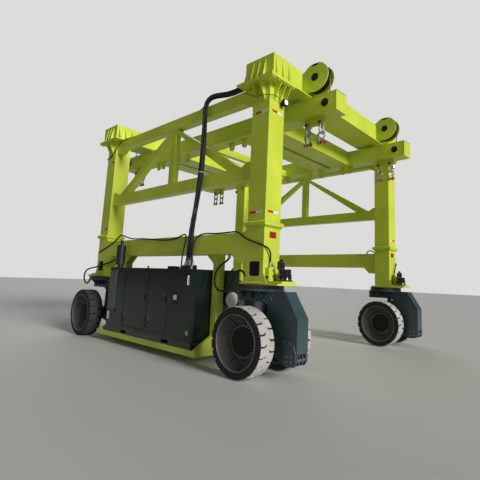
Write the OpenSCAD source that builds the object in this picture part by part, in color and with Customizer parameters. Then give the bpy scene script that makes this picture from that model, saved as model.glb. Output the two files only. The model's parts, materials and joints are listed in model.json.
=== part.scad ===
// Straddle carrier: four tall box legs on steered twin-wheel bogies, tied by
// side trusses and two head beams, with a lifting frame hung between the legs.
// +X is the front, -Y the side of the power pack, +Z up, origin on the ground
// midway between the legs. Lengths are in millimetres.

/* [Legs] */
// Half the distance between front and rear leg centres
leg_dx = 3013; // [2800:1:3400]
// Half the distance between near and far leg centres
leg_dy = 2759; // [2700:1:3100]
// Leg section along the machine
leg_x = 444; // [400:1:480]
// Leg section across the machine
leg_y = 460; // [420:1:500]
// Height of the bolted joint between leg and foot
joint_z = 2730; // [2700:1:2900]
// Height of the leg heads
head_z = 5590; // [5560:1:5800]
// Thickness of the bolted flanges
flange_t = 32; // [20:1:40]
// Overhang of the bolted flanges round the leg
flange_lip = 55; // [40:1:70]

/* [Feet] */
// Height of the top face of the slewing base plate
base_top = 1630; // [1600:1:1680]
// Thickness of the slewing base plate
base_t = 33; // [25:1:70]
// Reach of the base plate outwards from the leg centre
base_out = 637; // [600:1:700]
// Reach of the base plate inwards from the leg centre
base_in = 300; // [260:1:340]
// Width of the base plate
base_w = 600; // [560:1:640]
// Width of the access window in the foot
window_w = 270; // [200:1:300]
// Height of the access window in the foot
window_h = 273; // [200:1:300]
// Depth of the access window
window_d = 120; // [60:1:160]
// Height of the box that carries the steering motor
motor_box_h = 42; // [30:1:60]
// Reach of that box outwards across the machine
motor_box_y = 183; // [160:1:220]
// Radius of the gear housing of the steering motor
motor_r = 150; // [130:1:155]
// Distance of the steering motor outwards from the leg centre
motor_x = 487; // [470:1:520]
// Offset of the steering motor towards the middle of the machine
motor_y = 79; // [0:1:100]

/* [Side frame] */
// Underside of the lower beam
lower_z0 = 2167; // [2120:1:2200]
// Top of the lower beam
lower_z1 = 2580; // [2500:1:2620]
// Width of the lower beam
lower_w = 360; // [300:1:420]
// Underside of the bottom chord
bottom_z0 = 3650; // [3500:1:3750]
// Top of the bottom chord
bottom_z1 = 3928; // [3850:1:4000]
// Underside of the top chord
top_z0 = 5310; // [5200:1:5350]
// Top of the top chord
top_z1 = 5577; // [5450:1:5577]
// Width of the chords
chord_w = 200; // [160:1:260]
// Inset of the chords from the outer face of the leg
chord_inset = 50; // [20:1:80]
// Face width of the post and the diagonals
web_w = 200; // [150:1:240]
// Thickness of the post and the diagonals
web_t = 150; // [100:1:160]
// Length of the end haunches of the chords
haunch_l = 300; // [200:1:400]
// Drop of the end haunches
haunch_h = 90; // [60:1:140]
// Length of the haunches below the ends of the lower beam
knee_l = 245; // [200:1:300]
// Drop of the haunches below the ends of the lower beam
knee_h = 170; // [120:1:200]

/* [Head beams] */
// Width of the head beam
head_w = 744; // [700:1:760]
// Height of the head beam
head_h = 443; // [400:1:500]
// Offset of the head beam outwards from the leg centre
head_off = 13; // [0:1:30]
// Overhang of the head beam past the outer face of the leg
head_over = 107; // [60:1:150]
// Reach of the seat plates past the ends of the head beam
seat_end = 94; // [50:1:120]
// Reach of the seat plates past the outer side of the head beam
seat_out = 55; // [40:1:70]
// Reach of the seat plates past the inner side of the head beam
seat_in = 170; // [100:1:200]
// Reach of the seat plates past the inner face of the leg
seat_mid = 83; // [60:1:120]
// Height of the ribs under the seat plates
seat_rib = 390; // [300:1:450]
// Thickness of the stiffening ribs
rib_t = 16; // [12:1:24]

/* [Hoist] */
// Distance of the sheave axles from the middle of the machine
sheave_x = 3530; // [3500:1:3900]
// Half the distance between the two sheaves of an end
sheave_y = 1756; // [1700:1:1850]
// Height of the sheave axles
sheave_z = 6035; // [6000:1:6060]
// Radius at which the rope runs round the sheave
rope_r = 300; // [290:1:310]
// Diameter of the hoist rope
rope_d = 24; // [16:1:26]
// Width of a sheave
sheave_w = 160; // [120:1:170]
// Radius of a sheave axle
axle_r = 45; // [35:1:55]
// Thickness of the cheek plates
cheek_t = 22; // [14:1:30]
// Half the length of the pockets in the head beams
pocket_l = 400; // [380:1:420]
// Thickness of the bottom plate below the pockets
pocket_floor = 30; // [20:1:50]

/* [Lifting frame] */
// Reach of the lifting beams past the ropes
lift_over = 270; // [240:1:300]
// Width of the lifting beams
lift_w = 380; // [340:1:420]
// Height of the lifting beams
lift_h = 406; // [360:1:440]
// Top of the lifting frame
lift_z1 = 5541; // [5500:1:5541]
// Outer cross beam of the lifting frame, from the middle of the machine
cross_out = 2135; // [2080:1:2200]
// Inner cross beam of the lifting frame, from the middle of the machine
cross_in = 1445; // [1380:1:1500]
// Width of the cross beams
cross_w = 550; // [450:1:560]
// Width of the tie in the middle of the lifting frame
tie_w = 150; // [100:1:200]
// Height of the tie in the middle of the lifting frame
tie_h = 200; // [150:1:220]
// Thickness of the lifting eyes
eye_t = 40; // [30:1:60]
// Depth of the lifting eyes
eye_h = 210; // [180:1:260]
// Distance of the outer eyes inwards from the ropes
eye_in = 360; // [340:1:380]
// Half the distance between the two holes of an outer eye
eye_pair = 170; // [150:1:190]
// Middle of the eyes below the outer cross beams
eye_mid = 2250; // [2230:1:2270]
// Middle of the inner eyes
eye_low = 1145; // [1130:1:1160]

/* [Bogies] */
// Offset of the wheel axle in front of the steering axis
trail = 75; // [40:1:110]
// Outer radius of a tyre
tyre_r = 610; // [600:1:620]
// Outer radius of a rim
rim_r = 483; // [460:1:500]
// Outer face of a wheel from the middle of the bogie
wheel_out = 720; // [700:1:730]
// Inner face of a wheel from the middle of the bogie
wheel_in = 360; // [340:1:380]
// Number of shoulder grooves round each side of a tyre
groove_n = 24; // [16:1:30]
// Depth of the shoulder grooves
groove_d = 30; // [15:1:40]
// Number of ribs in a rim
rim_ribs = 9; // [6:1:12]
// Radius of the wheel shaft
shaft_r = 60; // [50:1:70]
// Width of the yoke
yoke_w = 316; // [290:1:340]
// Top of the yoke
yoke_z1 = 1523; // [1500:1:1530]
// Thickness of the side plates of the yoke
yoke_t = 30; // [20:1:40]
// Thickness of the plates round the pivot pins
boss_t = 12; // [8:1:16]
// Outer radius of the slewing ring
ring_r = 430; // [410:1:450]
// Radius of the race between the two halves of the slewing ring
race_r = 364; // [340:1:380]
// Running clearance of the races and hinges
run_gap = 0.5; // [0.3:0.1:0.9]

/* [Power pack] */
// Distance of the tray's front end behind the front steering axes
tray_front = 1143; // [1110:1:1200]
// Distance of the tray's rear end in front of the rear steering axes
tray_rear = 863; // [860:1:920]
// Width of the tray
tray_w = 1148; // [1140:1:1160]
// Underside of the tray
tray_z0 = 150; // [120:1:180]
// Height of the tray rails
tray_h = 117; // [90:1:130]
// Distance of the canopy behind the front end of the tray
pack_front = 175; // [170:1:270]
// Distance of the canopy in front of the rear end of the tray
pack_rear = 350; // [340:1:440]
// Width of the canopy
pack_w = 1120; // [1080:1:1140]
// Height of the skid under the canopy
skid_h = 115; // [80:1:140]
// Top of the canopy
pack_z1 = 1845; // [1800:1:1880]
// Thickness of the canopy walls and doors
wall_t = 40; // [25:1:50]
// Width of the hangers across the machine
hanger_w = 190; // [150:1:220]
// Length of the hangers along the machine
hanger_l = 150; // [120:1:160]
// Length of the gussets at the heads of the hangers
gusset_l = 230; // [180:1:260]
// Height of the gussets at the heads of the hangers
gusset_h = 190; // [150:1:220]
// Length of the gussets at the feet of the hangers
shoe_l = 480; // [400:1:490]
// Height of the gussets at the feet of the hangers
shoe_h = 305; // [250:1:350]
// Distance of the rear fork slot in the skid from the rear of the canopy
slot_rear = 800; // [700:1:900]
// Distance of the front fork slot in the skid from the front of the canopy
slot_front = 735; // [600:1:900]
// Length of the fork slots in the skid
slot_l = 260; // [220:1:300]
// Distance of the rear door's hinge line from the rear of the canopy
door_rear_in = 850; // [800:1:900]
// Width of the rear door
door_rear_w = 980; // [900:1:985]
// Distance of the front door's hinge line from the rear of the canopy
door_front_in = 1860; // [1855:1:1880]
// Width of the front door
door_front_w = 780; // [700:1:790]
// Underside of the door latches
latch_z = 1130; // [1000:1:1300]
// Height of the door latches
latch_h = 120; // [80:1:160]
// Length of the oil tank
tank_l = 220; // [200:1:260]
// Width of the oil tank
tank_w = 360; // [300:1:380]
// Underside of the oil tank
tank_z0 = 1360; // [1300:1:1400]
// Height of the oil tank
tank_h = 490; // [400:1:520]
// Reach of the oil tank past the front end of the tray
tank_over = 90; // [60:1:100]
// Radius of the filter below the tank
filter_r = 140; // [120:1:145]

/* [Hidden] */
$fn = 64;
eps = 1;
lime = [0.76, 0.88, 0.24];
teal = [0.10, 0.19, 0.20];
black = [0.07, 0.07, 0.08];
steel = [0.60, 0.61, 0.62];
dusty = [0.44, 0.43, 0.41];

leg_in_x = leg_dx - leg_x / 2;
leg_out_y = leg_dy + leg_y / 2;
base_bot = base_top - base_t;
head_z0 = head_z + flange_t;
head_z1 = head_z0 + head_h;
head_x = leg_dx + head_off;
head_face = head_x + head_w / 2;
head_half = leg_out_y + head_over;
seat_x1 = head_off + head_w / 2 + seat_out;
seat_y0 = -leg_y / 2 - head_over - seat_end;
seat_y1 = leg_y / 2 + seat_mid;
chord_y = leg_out_y - chord_inset - chord_w / 2;
lower_y = leg_out_y - lower_w / 2;
lift_z0 = lift_z1 - lift_h;
lift_y = sheave_y;
sheave_r = rope_r + rope_d / 2 + 3;
cheek_r = sheave_r + 15;
cheek_y = sheave_w / 2 + 28;
rope_x = sheave_x + rope_r;
lift_reach = rope_x + lift_over;
pocket_x = sheave_x - cheek_r;
eye_out = rope_x - eye_in;
tray_x0 = tray_rear - leg_dx;
tray_x1 = leg_dx - tray_front;
pack_x0 = tray_x0 + pack_rear;
pack_x1 = tray_x1 - pack_front;
door_rear_x = pack_x0 + door_rear_in;
door_front_x = pack_x0 + door_front_in;
tray_y = leg_dy + 2;
tray_z1 = tray_z0 + tray_h;
pack_z0 = tray_z1 + skid_h;
pack_y0 = -tray_y - pack_w / 2;
hinge_z = [pack_z0 + 250, pack_z1 - 250];
axle_z = tyre_r;
hose_r = 45;
hose_y = -leg_out_y - 60;
hose_end_y = -leg_dy - 170;
hose_x = 1150;
hose_route = [[hose_x, hose_y, pack_z1], [hose_x, hose_y, pack_z1 + 300], [hose_x - 20, hose_y, 2600],
    [hose_x + 140, hose_y, 3400], [hose_x + 205, hose_y, 4000], [hose_x + 222, hose_y, 4400],
    [hose_x + 215, hose_y, 5450], [hose_x + 300, hose_y, top_z1 + 150], [hose_x + 520, -chord_y, top_z1 + hose_r],
    [2250, -chord_y, top_z1 + hose_r], [2400, hose_end_y, 5720], [head_x - head_w / 2, hose_end_y, 5720]];
pivot_x = 823;
pivot_z = 382;
arm_z1 = 1290;
disc_x = 311;
disc_z = 1340;
knuckle_r = 12;
knuckle_l = 60;
pin_r = 24;
eye_r = 30;
hanger_x0 = tray_x0 + 160;
engine_x0 = pack_x0 + 500;
engine_l = 2200;
engine_w = 660;
engine_z1 = 1400;
exhaust_x = pack_x0 + 220;
exhaust_y = 150;

// Children moved to the leg at end sx and side sy, mirrored so that +x and -y
// point outwards from the machine.
module corner(sx, sy)
    translate([sx * leg_dx, sy * leg_dy, 0])
        mirror([sx < 0 ? 1 : 0, 0, 0]) mirror([0, sy > 0 ? 1 : 0, 0]) children();

// Block from the low corner to the high corner.
module block(low, high) translate(low) cube(high - low);

// Plate of thickness t about y, with its outline given in x and z.
module upright(y, t) translate([0, y + t / 2, 0]) rotate([90, 0, 0]) linear_extrude(t) children();

// Round bar along y from y0 to y1 at x and z.
module bar_y(x, z, r, y0, y1) translate([x, y0, z]) rotate([-90, 0, 0]) cylinder(r = r, h = y1 - y0);

// Triangular rib of length l and height h, standing on +x with its foot at the origin.
module rib(l, h, t) translate([0, t / 2, 0]) rotate([90, 0, 0]) linear_extrude(t)
    polygon([[0, 0], [l, 0], [0, h]]);

// Box leg with a bolted flange at its foot and a ribbed flange at its head.
module leg(sx, sy) color(lime) corner(sx, sy) {
    block([-leg_x / 2, -leg_y / 2, joint_z], [leg_x / 2, leg_y / 2, head_z]);
    leg_flange(joint_z);
    block([-leg_x / 2, seat_y0, head_z - flange_t], [seat_x1, seat_y1, head_z]);
    for (y = [-100, 50, 200]) translate([leg_x / 2 - eps, y, head_z - flange_t + eps]) mirror([0, 0, 1])
        rib(seat_x1 - leg_x / 2 - 10, seat_rib, rib_t);
    for (x = [-100, 100]) translate([x, eps - leg_y / 2, head_z - flange_t + eps]) mirror([0, 0, 1]) rotate([0, 0, -90])
        rib(-seat_y0 - leg_y / 2 - 10, seat_rib, rib_t);
}

// Flange round a leg at height z.
module leg_flange(z) block([-leg_x / 2 - flange_lip, -leg_y / 2 - flange_lip, z],
    [leg_x / 2 + flange_lip, leg_y / 2 + flange_lip, z + flange_t]);

// Lower end of a leg, on the plate that carries the slewing ring.
module foot(sx, sy) color(lime) corner(sx, sy) difference() {
    union() {
        block([-leg_x / 2, -leg_y / 2, base_top - eps], [leg_x / 2, leg_y / 2, joint_z]);
        leg_flange(joint_z - flange_t);
        block([-base_in, -base_w / 2, base_bot], [base_out, base_w / 2, base_top]);
        block([0, -motor_box_y, base_top - eps], [motor_x + motor_r, motor_y + motor_r - 10, base_top + motor_box_h]);
        for (y = [-leg_y / 2 + rib_t / 2, leg_y / 2 - rib_t / 2])
            translate([leg_x / 2 - eps, y, base_top - eps]) rib(100, 200, rib_t);
    }
    translate([0, -leg_y / 2 - eps, base_top + 120 + window_h / 2]) rotate([-90, 0, 0])
        linear_extrude(window_d + eps) rounded(window_w, window_h, 45);
}

// Rectangle w by h with corner radius r.
module rounded(w, h, r) {
    square([w - 2 * r, h], center = true);
    square([w, h - 2 * r], center = true);
    for (x = [-1, 1], y = [-1, 1]) translate([x * (w / 2 - r), y * (h / 2 - r)]) circle(r);
}

// Side beams low between the feet, haunched at both ends.
module lower_beams() color(lime) for (sy = [-1, 1])
    upright(sy * lower_y, lower_w) {
        translate([-leg_in_x, lower_z0]) square([2 * leg_in_x, lower_z1 - lower_z0]);
        for (s = [-1, 1]) polygon([[s * leg_in_x, lower_z1 - eps], [s * (leg_in_x - 90), lower_z1 - eps],
            [s * leg_in_x, lower_z1 + 70]]);
        for (s = [-1, 1]) polygon([[s * leg_in_x, lower_z0 + eps], [s * (leg_in_x - knee_l - knee_h), lower_z0 + eps],
            [s * (leg_in_x - knee_l), lower_z0 - knee_h], [s * leg_in_x, lower_z0 - knee_h]]);
    }

// Chord along a side with haunches at its ends, dir = -1 below or 1 above.
module chord(z0, z1, dir) for (sy = [-1, 1]) upright(sy * chord_y, chord_w) {
    translate([-leg_in_x, z0]) square([2 * leg_in_x, z1 - z0]);
    z = dir > 0 ? z1 - eps : z0 + eps;
    for (s = [-1, 1]) polygon([[s * leg_in_x, z], [s * (leg_in_x - haunch_l), z],
        [s * (leg_in_x - haunch_l / 2), z + dir * haunch_h], [s * leg_in_x, z + dir * haunch_h]]);
}
module bottom_chords() color(lime) chord(bottom_z0, bottom_z1, 1);
module top_chords() color(lime) chord(top_z0, top_z1, -1);

// Middle posts of the side trusses.
module truss_posts() color(lime) for (sy = [-1, 1])
    block([-web_w / 2, sy * chord_y - web_t / 2, bottom_z1], [web_w / 2, sy * chord_y + web_t / 2, top_z0]);

// Diagonals from the bottom corners to the top of the post.
module truss_diagonals() color(lime) for (sy = [-1, 1], s = [-1, 1]) upright(sy * chord_y, web_t) {
    foot_x = leg_in_x - haunch_l - 40;
    slope = (foot_x - web_w / 2) / (top_z0 - bottom_z1);
    cut = web_w * sqrt(1 + slope * slope);
    polygon([[s * foot_x, bottom_z1], [s * (foot_x - cut), bottom_z1],
        [s * (web_w / 2 + 1), top_z0 - (cut - web_w / 2) / slope * 0.55],
        [s * (web_w / 2 + 1), top_z0], [s * (web_w / 2 + 40), top_z0]]);
}

// Head beam across the legs of the end s, with ribbed seats and pockets for the sheaves.
module head_beam(s) color(lime) mirror([s < 0 ? 1 : 0, 0, 0]) difference() {
    union() {
        block([head_x - head_w / 2, -head_half, head_z0 - eps], [head_x + head_w / 2, head_half, head_z1]);
        for (sy = [-1, 1]) translate([0, sy * leg_dy, 0]) mirror([0, sy > 0 ? 1 : 0, 0]) seat();
    }
    for (sy = [-1, 1]) translate([0, sy * sheave_y, 0])
        block([pocket_x, -pocket_l, head_z0 + pocket_floor], [head_face + eps, pocket_l, head_z1 + eps]);
}

// Seat plate of a head beam on a leg, ribbed against the sides and the end of the beam.
module seat() {
    block([head_x - head_w / 2 - seat_in, seat_y0, head_z], [head_face + seat_out, seat_y1, head_z0]);
    for (y = [-270, -70, 130]) {
        translate([head_face - eps, y, head_z0 - eps]) rib(seat_out, head_h - 30, rib_t);
        translate([head_x - head_w / 2 + eps, y, head_z0 - eps]) mirror([1, 0, 0]) rib(seat_in - 20, head_h - 30, rib_t);
    }
    for (x = [-160, 0, 160]) translate([head_x + x, eps - leg_y / 2 - head_over, head_z0 - eps]) rotate([0, 0, -90])
        rib(seat_end - 10, head_h - 30, rib_t);
}

// Pairs of cheek plates with their axles.
module sheave_blocks(s) mirror([s < 0 ? 1 : 0, 0, 0]) for (sy = [-1, 1]) translate([0, sy * sheave_y, 0]) {
    color(lime) for (k = [-1, 1]) upright(k * (cheek_y + cheek_t / 2), cheek_t) cheek();
    color(black) bar_y(sheave_x, sheave_z, axle_r, -cheek_y - cheek_t - 14, cheek_y + cheek_t + 14);
    for (k = [-1, 1]) color(black) bar_y(sheave_x, sheave_z, axle_r + 40,
        k > 0 ? cheek_y + cheek_t - eps : -cheek_y - cheek_t - 12, k > 0 ? cheek_y + cheek_t + 12 : eps - cheek_y - cheek_t);
}

// D-shaped cheek with its flat side against the back of the pocket and a notch at its top.
module cheek() difference() {
    union() {
        translate([sheave_x, sheave_z]) circle(cheek_r, $fn = 96);
        polygon([[pocket_x, sheave_z - cheek_r + 8], [sheave_x - 60, sheave_z - cheek_r + 8],
            [sheave_x - 90, sheave_z + cheek_r - 25], [pocket_x, head_z1 + 145]]);
    }
    translate([sheave_x - 80, sheave_z + cheek_r - 65]) square([150, 100]);
}

// Grooved sheaves of one end, on their axles.
module sheaves(s) color(black) for (sy = [-1, 1])
    translate([s * sheave_x, sy * sheave_y, sheave_z]) rotate([90, 0, 0]) rotate_extrude($fn = 96)
        difference() {
            union() {
                translate([axle_r + 0.05, -sheave_w / 2]) square([50, sheave_w]);
                translate([axle_r + 0.05, -22]) square([sheave_r - 30 - axle_r, 44]);
                translate([sheave_r - 60, -40]) square([60, 80]);
            }
            translate([rope_r, 0]) circle(rope_d / 2 + 1, $fn = 24);
            translate([rope_r, -rope_d / 2 - 1]) square([100, rope_d + 2]);
        }

// Falls of the hoist ropes from the sheaves to the lifting beams.
module hoist_ropes() color(steel) for (s = [-1, 1], sy = [-1, 1])
    translate([s * rope_x, sy * sheave_y, lift_z1]) cylinder(d = rope_d, h = sheave_z - lift_z1, $fn = 24);

// Lifting beam along one side, with eyes below it and rope pins near its ends.
module lift_beam(sy) translate([0, sy * lift_y, 0]) {
    color(lime) block([-lift_reach, -lift_w / 2, lift_z0], [lift_reach, lift_w / 2, lift_z1]);
    color(lime) for (s = [-1, 1]) {
        block([s > 0 ? lift_reach - 130 : -lift_reach - 12, -lift_w / 2, lift_z1 - eps],
            [s > 0 ? lift_reach + 12 : 130 - lift_reach, lift_w / 2, lift_z1 + 12]);
        upright(0, eye_t) lifting_eye(s * eye_out, eye_pair);
        for (x = [eye_low - 225, eye_low + 225, eye_mid - 120, eye_mid + 120]) upright(0, eye_t) lifting_eye(s * x, 0);
    }
    color(lime) cross_eye(0, 0);
    color(black) for (s = [-1, 1], k = [-1, 1])
        bar_y(s * rope_x, lift_z1 - 195, 85, k > 0 ? lift_w / 2 - eps : -lift_w / 2 - 14,
            k > 0 ? lift_w / 2 + 14 : eps - lift_w / 2);
}

// Eye plate below a lifting beam at x, with a hole at p on either side of its middle.
module lifting_eye(x, p) difference() {
    union() {
        polygon([[x - p - 110, lift_z0 + eps], [x + p + 110, lift_z0 + eps],
            [x + p + 50, lift_z0 - eye_h + 50], [x - p - 50, lift_z0 - eye_h + 50]]);
        for (k = p > 0 ? [-1, 1] : [0]) translate([x + k * p, lift_z0 - eye_h + 80]) circle(80);
    }
    for (k = p > 0 ? [-1, 1] : [0]) translate([x + k * p, lift_z0 - eye_h + 90]) circle(eye_r);
}

// Crosswise eye plate at y, with a hole at p on either side of its middle.
module cross_eye(y, p) rotate([0, 0, 90]) upright(0, eye_t) translate([y, 0]) difference() {
    union() {
        polygon([[-p - 165, lift_z0 + eps], [p + 165, lift_z0 + eps],
            [p + 70, lift_z0 - 150], [-p - 70, lift_z0 - 150]]);
        for (k = p > 0 ? [-1, 1] : [0]) translate([k * p, lift_z0 - 95]) circle(90);
    }
    for (k = p > 0 ? [-1, 1] : [0]) translate([k * p, lift_z0 - 90]) circle(eye_r);
}

// Cross beams between the lifting beams, with bolted end plates, and the middle tie with its eyes.
module lift_cross_beams() color(lime) {
    half = lift_y - lift_w / 2;
    for (x = [-cross_out, -cross_in, cross_in, cross_out]) {
        block([x - cross_w / 2, -half, lift_z0], [x + cross_w / 2, half, lift_z1]);
        for (k = [-1, 1]) block([x - cross_w / 2 - 20, k > 0 ? half - 30 : -half, lift_z0],
            [x + cross_w / 2 + 20, k > 0 ? half : 30 - half, lift_z1]);
    }
    block([-tie_w / 2, -half, lift_z0], [tie_w / 2, half, lift_z0 + tie_h]);
    for (k = [-1, 1]) cross_eye(k * (half - 290), 105);
}

// Bow shackles hung from the outer eyes.
module shackles() color(steel) for (s = [-1, 1], sy = [-1, 1], k = [-1, 1])
    translate([s * eye_out + k * eye_pair, sy * lift_y, lift_z0 - eye_h + 90 - (eye_r - pin_r - 0.3)]) {
        rotate([90, 0, 0]) translate([0, 0, -60]) cylinder(r = pin_r, h = 120);
        for (y = [-1, 1]) translate([0, y * 48, -150]) cylinder(r = 18, h = 150);
        translate([0, 0, -150]) rotate([0, 90, 0]) half_ring(48, 18);
    }

// Lower half of a ring of bar radius b, bent at radius r in the plane of y and z.
module half_ring(r, b) intersection() {
    rotate_extrude($fn = 48) translate([r, 0]) circle(b, $fn = 24);
    translate([0, -r - b - eps, -b - eps]) cube([r + b + eps, 2 * (r + b + eps), 2 * (b + eps)]);
}

// Outer races of the slewing rings, bolted below the base plates.
module slewing_rings() color(steel) for (sx = [-1, 1], sy = [-1, 1])
    translate([sx * leg_dx, sy * leg_dy, yoke_z1 + 4]) difference() {
        cylinder(r = ring_r, h = base_bot - yoke_z1 - 4, $fn = 96);
        translate([0, 0, -eps]) cylinder(r = race_r + run_gap, h = 100, $fn = 96);
    }

// Steering motors on their gear housings, standing on the base plates.
module steering_motors() for (sx = [-1, 1], sy = [-1, 1]) corner(sx, sy)
    translate([motor_x, motor_y, base_top + motor_box_h]) {
        color(black) cylinder(r = motor_r, h = 25);
        color(black) cylinder(r = motor_r - 18, h = 215);
        color(black) translate([-50, -45, 214]) cylinder(r = 75, h = 215);
    }

// Work lamps on the leg heads, facing inwards and down.
module work_lamps() for (sx = [-1, 1], sy = [-1, 1]) corner(sx, sy)
    translate([leg_x / 2, leg_y / 2 - 100, head_z - 380]) {
        color(black) block([0, -12, -60], [60, 12, 60]);
        color(black) translate([60 - eps, -55, -55]) cube([70, 110, 110]);
    }

// Hose bundle from the power pack up the side and along the top chord.
module hose_bundle() color(black) sweep(rounded_route(hose_route, 90), hose_r);

function unit(v) = v / norm(v);

// Route with each inner corner replaced by an arc that starts d before it.
function rounded_route(p, d) = [p[0],
    for (i = [1 : len(p) - 2]) each [for (t = [0 : 0.25 : 1])
        (1 - t) * (1 - t) * (p[i] + d * unit(p[i - 1] - p[i])) + 2 * t * (1 - t) * p[i]
        + t * t * (p[i] + d * unit(p[i + 1] - p[i]))],
    p[len(p) - 1]];

// Round tube of radius r along the route p, with flat ends square to it.
module sweep(p, r, n = 12) {
    rings = [for (i = [0 : len(p) - 1])
        let (t = unit(p[min(i + 1, len(p) - 1)] - p[max(i - 1, 0)]), u = unit(cross(t, [0, 1, 0])), v = cross(t, u))
        each [for (k = [0 : n - 1]) p[i] + r * (cos(360 * k / n) * u + sin(360 * k / n) * v)]];
    sides = [for (i = [0 : len(p) - 2], k = [0 : n - 1])
        [i * n + k, i * n + (k + 1) % n, (i + 1) * n + (k + 1) % n, (i + 1) * n + k]];
    polyhedron(rings, concat(sides, [[for (k = [n - 1 : -1 : 0]) k]],
        [[for (k = [0 : n - 1]) (len(p) - 1) * n + k]]));
}

// Rails, cross members and floor of the tray under the power pack.
module pack_tray() color(lime) translate([0, -tray_y, 0]) {
    for (k = [-1, 1]) difference() {
        block([tray_x0, k > 0 ? tray_w / 2 - 65 : -tray_w / 2, tray_z0],
            [tray_x1, k > 0 ? tray_w / 2 : 65 - tray_w / 2, tray_z1]);
    }
    for (x = [hanger_x0, -60, tray_x1 - 110]) block([x, -tray_w / 2 + 60, tray_z0], [x + 110, tray_w / 2 - 60, tray_z1]);
    block([hanger_x0, -tray_w / 2 + 60, tray_z0], [tray_x1 - 50, tray_w / 2 - 60, tray_z0 + 10]);
}

// Posts that hang the tray from the lower beam, with gussets at their heads and feet.
module pack_hangers() color(lime) for (x = [hanger_x0 + hanger_l / 2, tray_x1 - hanger_l / 2])
    translate([x, -leg_dy, 0]) mirror([x > 0 ? 1 : 0, 0, 0]) {
        block([-hanger_l / 2, -hanger_w / 2, tray_z1], [hanger_l / 2, hanger_w / 2, lower_z0]);
        translate([hanger_l / 2 - eps, 0, lower_z0]) mirror([0, 0, 1]) rib(gusset_l, gusset_h, hanger_w);
        translate([-hanger_l / 2, -hanger_w / 2 + eps, tray_z1]) rotate([90, 0, 90])
            linear_extrude(65) polygon([[0, 0], [0, shoe_h], [-shoe_l, 25], [-shoe_l, 0]]);
    }

// Skid under the canopy.
module pack_skid() color(black) difference() {
    block([pack_x0, pack_y0, tray_z1], [pack_x1, pack_y0 + pack_w, pack_z0]);
    for (x = [pack_x0 + slot_rear, pack_x1 - slot_front - slot_l])
        block([x, pack_y0 - eps, tray_z1 + 25], [x + slot_l, pack_y0 + pack_w + eps, pack_z0 - 20]);
}

// Hollow canopy with two door openings and the fixed knuckles of the door hinges.
module pack_canopy() color(teal) {
    canopy_shell();
    for (x = [door_rear_x, door_front_x], z = hinge_z, s = [-1, 1])
        translate([x, pack_y0 - knuckle_r, z + s * (knuckle_l + run_gap) - knuckle_l / 2]) {
            cylinder(r = knuckle_r, h = knuckle_l);
            block([-25, 0, 0], [0, knuckle_r + eps, knuckle_l]);
        }
}

module canopy_shell() difference() {
    translate([0, 0, pack_z0]) linear_extrude(pack_z1 - pack_z0) translate([pack_x0, pack_y0])
        bevelled(pack_x1 - pack_x0, pack_w, 60);
    block([pack_x0 + wall_t, pack_y0 + wall_t, pack_z0 + wall_t],
        [pack_x1 - wall_t, pack_y0 + pack_w - wall_t, pack_z1 - wall_t]);
    door_cut(door_rear_x, door_rear_w);
    door_cut(door_front_x, door_front_w);
}
module bevelled(l, w, b) polygon([[b, 0], [l - b, 0], [l, b], [l, w - b], [l - b, w], [b, w], [0, w - b], [0, b]]);

// Opening of a door with its hinge line at x and width w.
module door_cut(x, w) block([x, pack_y0 - eps, pack_z0 + 70], [x + w, pack_y0 + wall_t + eps, pack_z1 - 70]);

// Door with its hinge line at x and width w, its knuckles in front of the wall.
module door(x, w) {
    color(teal) block([x + 6, pack_y0, pack_z0 + 76], [x + w - 6, pack_y0 + wall_t, pack_z1 - 76]);
    color(teal) for (z = hinge_z) translate([x, pack_y0 - knuckle_r, z - knuckle_l / 2]) {
        cylinder(r = knuckle_r, h = knuckle_l);
        block([0, -3, 0], [60, knuckle_r + eps, knuckle_l]);
    }
    color(black) block([x + w - 110, pack_y0 - 18, latch_z], [x + w - 60, pack_y0 + eps, latch_z + latch_h]);
}

// Engine and generator block inside the canopy.
module pack_engine() color(black) block([engine_x0, -tray_y - engine_w / 2, pack_z0 + wall_t],
    [engine_x0 + engine_l, -tray_y + engine_w / 2, engine_z1]);

// Upright silencer beside the lower beam, on the roof of the canopy.
module pack_exhaust() color(black) translate([exhaust_x, pack_y0 + exhaust_y, pack_z1]) {
    cylinder(r = 60, h = 90);
    translate([0, 0, 80]) cylinder(r = 110, h = 500);
    translate([0, 0, 570]) cylinder(r = 40, h = 140);
}

// Oil tank over a round filter with its end cover, bolted to the side of the front hanger.
module oil_filter_tank() translate([tray_x1 + tank_over, -leg_dy + hanger_w / 2, 0]) {
    filter_z = tank_z0 - filter_r + 26;
    color(teal) block([-tank_l, 0, tank_z0], [0, tank_w, tank_z0 + tank_h]);
    color(teal) translate([-tank_l, filter_r + 10, filter_z]) rotate([0, 90, 0]) cylinder(r = filter_r, h = tank_l);
    color(steel) translate([-eps, filter_r + 10, filter_z]) rotate([0, 90, 0]) cylinder(r = filter_r + 10, h = 40);
}

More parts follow.
